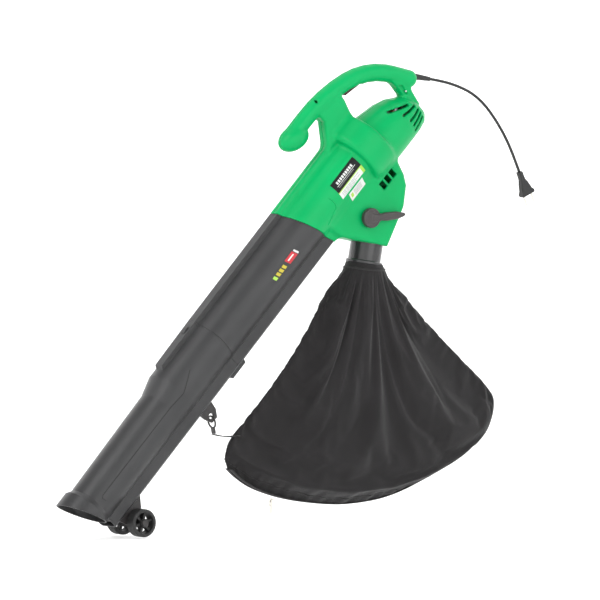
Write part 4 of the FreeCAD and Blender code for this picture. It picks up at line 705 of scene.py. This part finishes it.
# Half thickness of the bag, in millimetres, from its neck (0) to its seam (1).
BAG_DEPTH = [(0, 36.5), (0.05, 37.5), (0.14, 47), (0.35, 57), (0.6, 66), (0.8, 62), (0.92, 38), (0.965, 15), (1, 4)]
BAG_BAND = 22
HEM_RADIUS = 0.0011
NECK_HEM_RADIUS = 0.0016
NECK_HEM_ROW = 3
ZIP_WIDTH = 0.024
ZIP_THICK = 0.0016
ZIP_INSET = 0.003
STRAP_WIDTH = 0.018
STRAP_THICK = 0.0018
STRAP_POINTS = 12


def run_through(points, count):
    """Evenly spaced points along a smoothed run of points."""
    line = np.array(points, float)
    for _ in range(3):
        cut = np.empty((2 * (len(line) - 1), 2))
        cut[0::2] = 0.75 * line[:-1] + 0.25 * line[1:]
        cut[1::2] = 0.25 * line[:-1] + 0.75 * line[1:]
        line = np.vstack([line[:1], cut, line[-1:]])
    far = np.concatenate([[0], np.cumsum(np.linalg.norm(np.diff(line, axis=0), axis=1))])
    where = np.linspace(0, far[-1], count)
    return np.column_stack([np.interp(where, far, line[:, k]) for k in range(2)])


def bag_rings():
    """Rings of points from the bag's neck down to its bottom seam, in metres."""
    rows = np.linspace(0, 1, BAG_ROWS)
    left = run_through(BAG_LEFT, BAG_ROWS)
    right = run_through(BAG_RIGHT, BAG_ROWS)
    turn = np.linspace(0, 2 * np.pi, BAG_COLUMNS, endpoint=False)
    share = (1 - np.cos(turn)) / 2
    side = np.where(turn < np.pi, -1.0, 1.0)
    fine = np.linspace(0, 1, 400)
    bottom_fine = run_through(BAG_BOTTOM, 400)
    bottom = np.column_stack([np.interp(share, fine, bottom_fine[:, k]) for k in range(2)])
    top = left[0] + share[:, None] * (right[0] - left[0])
    depth = np.interp(rows, *np.array(BAG_DEPTH).T)
    grid = np.zeros((BAG_ROWS, BAG_COLUMNS, 3))
    for i, down in enumerate(rows):
        sides = (1 - share[:, None]) * left[i] + share[:, None] * right[i]
        ends = (1 - down) * top + down * bottom
        corner = ((1 - down) * ((1 - share[:, None]) * left[0] + share[:, None] * right[0])
                  + down * ((1 - share[:, None]) * left[-1] + share[:, None] * right[-1]))
        flat = sides + ends - corner
        power = 0.5 + 0.12 * down
        thick = depth[i] * (1 - np.abs(2 * share - 1) ** (2 + 0.5 * down)) ** power
        grid[i, :, 0] = flat[:, 0]
        grid[i, :, 1] = side * thick
        grid[i, :, 2] = flat[:, 1]
    return grid / 1000, turn, rows


def bag_folds(grid, turn, rows):
    """Pushes gathers and long fanning folds into the rings, along their normals."""
    along = np.gradient(grid, axis=0)
    around = (np.roll(grid, -1, axis=1) - np.roll(grid, 1, axis=1)) / 2
    normal = np.cross(around, along)
    normal /= np.maximum(np.linalg.norm(normal, axis=2, keepdims=True), 1e-9)
    rng = np.random.default_rng(11)
    push = np.zeros(grid.shape[:2])
    down = rows[:, None]
    for count, height, start, end in ((27, 2.0, 0.03, 0.24), (16, 2.2, 0.05, 0.42), (8, 5.0, 0.08, 0.8),
                                      (4, 8.5, 0.12, 0.99)):
        fade = np.clip((down - start) / 0.08, 0, 1) * np.clip((end - down) / (0.75 * (end - start)), 0, 1)
        for shift in (0, 1):
            angle = turn[None, :] * (count + shift) + rng.uniform(0, 2 * np.pi)
            angle = angle + 0.9 * np.sin(down * rng.uniform(3, 6) + rng.uniform(0, 6))
            crest = 1 - 2 * np.abs(np.sin(angle / 2)) ** 0.8
            push += 0.5 * height * fade * crest
    band = np.clip((down - 0.86) / 0.1, 0, 1) * np.clip((1.0 - down) / 0.03, 0, 1)
    for count in (46, 71):
        push += 0.7 * band * np.sin(turn[None, :] * count + rng.uniform(0, 6))
    return grid + normal * (push / 1000)[:, :, None]


def simulate(thing, pins):
    """Lets the cloth settle under a little pressure while its neck and seam are held."""
    modifier = thing.modifiers.new("cloth", "CLOTH")
    cloth = modifier.settings
    cloth.quality = 6
    cloth.mass = 0.12
    cloth.tension_stiffness = 12
    cloth.compression_stiffness = 8
    cloth.shear_stiffness = 5
    cloth.bending_stiffness = 0.25
    cloth.tension_damping = 8
    cloth.compression_damping = 8
    cloth.shear_damping = 8
    cloth.air_damping = 4
    cloth.use_pressure = True
    cloth.uniform_pressure_force = 1.2
    cloth.shrink_min = -0.03
    cloth.vertex_group_mass = pins
    cloth.effector_weights.gravity = 0.15
    modifier.collision_settings.use_collision = False
    modifier.point_cache.frame_start = 1
    modifier.point_cache.frame_end = BAG_FRAMES
    for step in range(1, BAG_FRAMES + 1):
        scene.frame_set(step)
    settled = bpy.data.meshes.new_from_object(thing.evaluated_get(bpy.context.evaluated_depsgraph_get()))
    thing.modifiers.clear()
    thing.data = settled
    scene.frame_set(1)


def dust_bag():
    """The hanging cloth bag: folds laid in, then settled by a cloth simulation."""
    grid, turn, rows = bag_rings()
    grid = bag_folds(grid, turn, rows)
    mesh = from_grid("bag", [[Vector(p) for p in ring] for ring in grid])
    made = new_object("dust_bag_cloth", mesh, CLOTH)
    pins = made.vertex_groups.new(name="held")
    for i in range(BAG_ROWS):
        down = rows[i]
        hold = 1.0 if down < 0.035 or i == BAG_ROWS - 1 else 0.0
        for j in range(BAG_COLUMNS):
            edge = min(abs(math.sin(turn[j] / 2)), abs(math.cos(turn[j] / 2)))
            weight = max(hold, 0.35 if edge < 0.03 else 0.0)
            if weight:
                pins.add([i * BAG_COLUMNS + j], weight, "REPLACE")
    simulate(made, "held")
    mesh = made.data
    mesh.polygons.foreach_set("use_smooth", [True] * len(mesh.polygons))
    points = np.empty(len(mesh.vertices) * 3)
    mesh.vertices.foreach_get("co", points)
    points = points.reshape(BAG_ROWS, BAG_COLUMNS, 3)
    subdivided(made, 1)
    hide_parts("dust_bag")
    return made, points


def strip_along(name, line, outward, width, thick, mat, body="housing"):
    """A flat band that follows a run of points; outward says which way its face looks at each."""
    rows = []
    for i, p in enumerate(line):
        run = line[min(i + 1, len(line) - 1)] - line[max(i - 1, 0)]
        run = run / np.linalg.norm(run)
        out = outward[i] / np.linalg.norm(outward[i])
        wide = np.cross(run, out)
        wide = wide / np.linalg.norm(wide)
        ring = []
        for a, b in ((-1, -1), (-0.94, 1), (-0.5, 1.1), (0, 1.1), (0.5, 1.1), (0.94, 1), (1, -1), (0, -1)):
            ring.append(Vector(p + wide * a * width / 2 + out * b * thick / 2))
        rows.append(ring)
    return new_object(name, from_grid(name, rows, ends=True), mat, body)


def tube_along(name, line, radius, mat, body="housing", closed=False):
    """A thin round bead that follows a run of points."""
    data = bpy.data.curves.new(name, "CURVE")
    data.dimensions = "3D"
    run = data.splines.new("POLY")
    run.points.add(len(line) - 1)
    for point, p in zip(run.points, line):
        point.co = (*p, 1)
    run.use_cyclic_u = closed
    data.bevel_depth = radius
    data.bevel_resolution = 3
    data.use_fill_caps = not closed
    drawn = bpy.data.objects.new(name, data)
    scene.collection.objects.link(drawn)
    mesh = bpy.data.meshes.new_from_object(drawn.evaluated_get(bpy.context.evaluated_depsgraph_get()))
    bpy.data.objects.remove(drawn)
    mesh.materials.clear()
    return new_object(name, mesh, mat, body)


bag, bag_points = dust_bag()
half = BAG_COLUMNS // 2
seam_far = np.linalg.norm(bag_points - bag_points[-1:], axis=2).mean(axis=1)
band_row = int(np.argmin(np.abs(seam_far - BAG_BAND / 1000)))
tube_along("bag_hem_stitch", bag_points[band_row], HEM_RADIUS, CLOTH, closed=True)
tube_along("bag_neck_hem", bag_points[NECK_HEM_ROW], NECK_HEM_RADIUS, WEBBING, closed=True)
seam = (bag_points[-1, :half + 1] + bag_points[-1, np.r_[0, np.arange(BAG_COLUMNS - 1, half - 1, -1)]]) / 2
seam = seam[6:-5]
centre_of_seam = np.array([0.03, 0, -0.25])
seam_out = seam - centre_of_seam
tape_piece = strip_along("zipper_band", seam - seam_out * ZIP_INSET, seam_out, ZIP_WIDTH, ZIP_THICK, WEBBING)
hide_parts("zipper_tape")


def on_surface(tree, u, v, lift):
    """Point where the wall of a part is met from the near side, lifted off it a little."""
    start = spot(u, -160, v)
    hit = tree.ray_cast(start, ACROSS)[0]
    return np.array(hit + Vector((0, -lift / 1000, 0)))


def surface_line(name, node, corners, radius, lift, mat):
    """A fine line drawn along a part's near wall through (u, v) corners."""
    mesh = nodes[node].data
    tree = BVHTree.FromPolygons([v.co for v in mesh.vertices], [tuple(p.vertices) for p in mesh.polygons])
    line = []
    for (au, av), (bu, bv) in zip(corners, corners[1:]):
        for part in np.linspace(0, 1, 14, endpoint=False):
            line.append(on_surface(tree, au + (bu - au) * part, av + (bv - av) * part, lift))
    line.append(on_surface(tree, *corners[-1], lift))
    return tube_along(name, line, radius, mat)


# A dark bead laid along the lower tube's near wall: painted shade where its groove would darken.
surface_line("tube_groove_painted_shade", "lower_tube", [(-424, -6), (-426, 3), (-420, 6), (-150, 6), (-141, 9), (-112, 21),
                                           (-104, 24)], 0.0006, 0.15, PAINTED_GROOVE_SHADE)
surface_line("socket_bead", "housing_left", [(364, 13), (366, 2), (365, -11), (360, -14), (326, -26)], 0.0009, 0.3,
             GREEN)

hook_low, hook_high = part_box("snap_hook")
strap_start = np.array([(hook_low.x + hook_high.x) / 2 + 0.004, 0, hook_low.z - 0.0015])
edge_row = int(np.argmin(np.abs(bag_points[:, 0, 2] - (strap_start[2] - 0.004))))
strap_end = bag_points[edge_row, 0] + np.array([0.012, 0, -0.001])
strap_line = [strap_start + (strap_end - strap_start) * k + np.array([0, 0, -0.003 * math.sin(math.pi * k)])
              for k in np.linspace(0, 1, STRAP_POINTS)]
strap_out = [np.array([0.1, 0, 1.0])] * STRAP_POINTS
strap_piece = strip_along("strap_web", strap_line, strap_out, STRAP_WIDTH, STRAP_THICK, WEBBING)
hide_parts("bag_strap")

# ---------------------------------------------------------------- stage
low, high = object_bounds()
FLOOR = low.z - 0.004
STAGE_FLAT = 44.0
STAGE_CURVE = 3.0
STAGE_WALL = 40.0
STAGE_SPOKES = 72
STAGE_RINGS = (0.0, 0.5, 1.0, 2.0, 4.0, 8.0, 14.0, 22.0, STAGE_FLAT)
STAGE_GLOW_NEAR = 0.42
STAGE_GLOW_FAR = 0.66
WORLD_LIGHT = 0.42


def bowl_stage():
    """A round floor that curves up into a pale wall on every side, behind the camera too."""
    spokes = np.linspace(0, 2 * math.pi, STAGE_SPOKES, endpoint=False)
    profile = [(r, FLOOR) for r in STAGE_RINGS]
    profile += [(STAGE_FLAT + STAGE_CURVE * math.sin(a), FLOOR + STAGE_CURVE * (1 - math.cos(a)))
                for a in np.linspace(0.1, math.pi / 2, 12)]
    profile += [(STAGE_FLAT + STAGE_CURVE, FLOOR + STAGE_WALL)]
    rows = [[Vector((AIM.x + r * math.cos(a), AIM.y + r * math.sin(a), z)) for a in spokes] for r, z in profile]
    mesh = from_grid("bowl", rows)
    made = bpy.data.objects.new("bowl", mesh)
    scene.collection.objects.link(made)
    mat, shader = new_material("stage", (0.86, 0.86, 0.86), 0.9)
    shader.inputs["Emission Color"].default_value = (1, 1, 1, 1)
    shader.inputs["Emission Strength"].default_value = STAGE_GLOW_NEAR
    mottled(mat, shader, (0.86, 0.86, 0.86), (0.875, 0.875, 0.875), 1.5)
    reach = mat.node_tree.nodes.new("ShaderNodeVectorMath")
    reach.operation = "LENGTH"
    link(mat, place_node(mat), reach.inputs[0])
    glow = add(mat, "ShaderNodeMapRange", From_Min=2.5, From_Max=12.0, To_Min=STAGE_GLOW_NEAR,
               To_Max=STAGE_GLOW_FAR)
    link(mat, reach.outputs["Value"], glow.inputs["Value"])
    link(mat, glow.outputs["Result"], shader.inputs["Emission Strength"])
    mesh.materials.append(mat)
    mesh.polygons.foreach_set("use_smooth", [True] * len(mesh.polygons))
    return made


bowl_stage()


def lamp(name, place, aim, power, width, height):
    data = bpy.data.lights.new(name, "AREA")
    data.shape = "RECTANGLE"
    data.size = width
    data.size_y = height
    data.energy = power
    made = bpy.data.objects.new(name, data)
    made.location = place
    made.rotation_mode = "QUATERNION"
    made.rotation_quaternion = (Vector(aim) - Vector(place)).to_track_quat("-Z", "Y")
    scene.collection.objects.link(made)
    return made


sight = back.cross(Vector((0, 0, 1))) * -1
lamp("key", AIM + back * 2.2 + sight * -1.6 + Vector((0, 0, 2.6)), AIM, 62, 2.0, 2.0)
lamp("fill", AIM + back * 2.6 + sight * 2.4 + Vector((0, 0, 0.6)), AIM, 20, 2.4, 2.4)
lamp("top", AIM + Vector((0, 0, 3.2)) - back * 0.8, AIM, 30, 2.6, 2.6)

world = bpy.data.worlds.new("studio")
world.use_nodes = True
world.node_tree.nodes["Background"].inputs["Color"].default_value = (1, 1, 1, 1)
world.node_tree.nodes["Background"].inputs["Strength"].default_value = WORLD_LIGHT
scene.world = world
scene.view_settings.view_transform = "Standard"
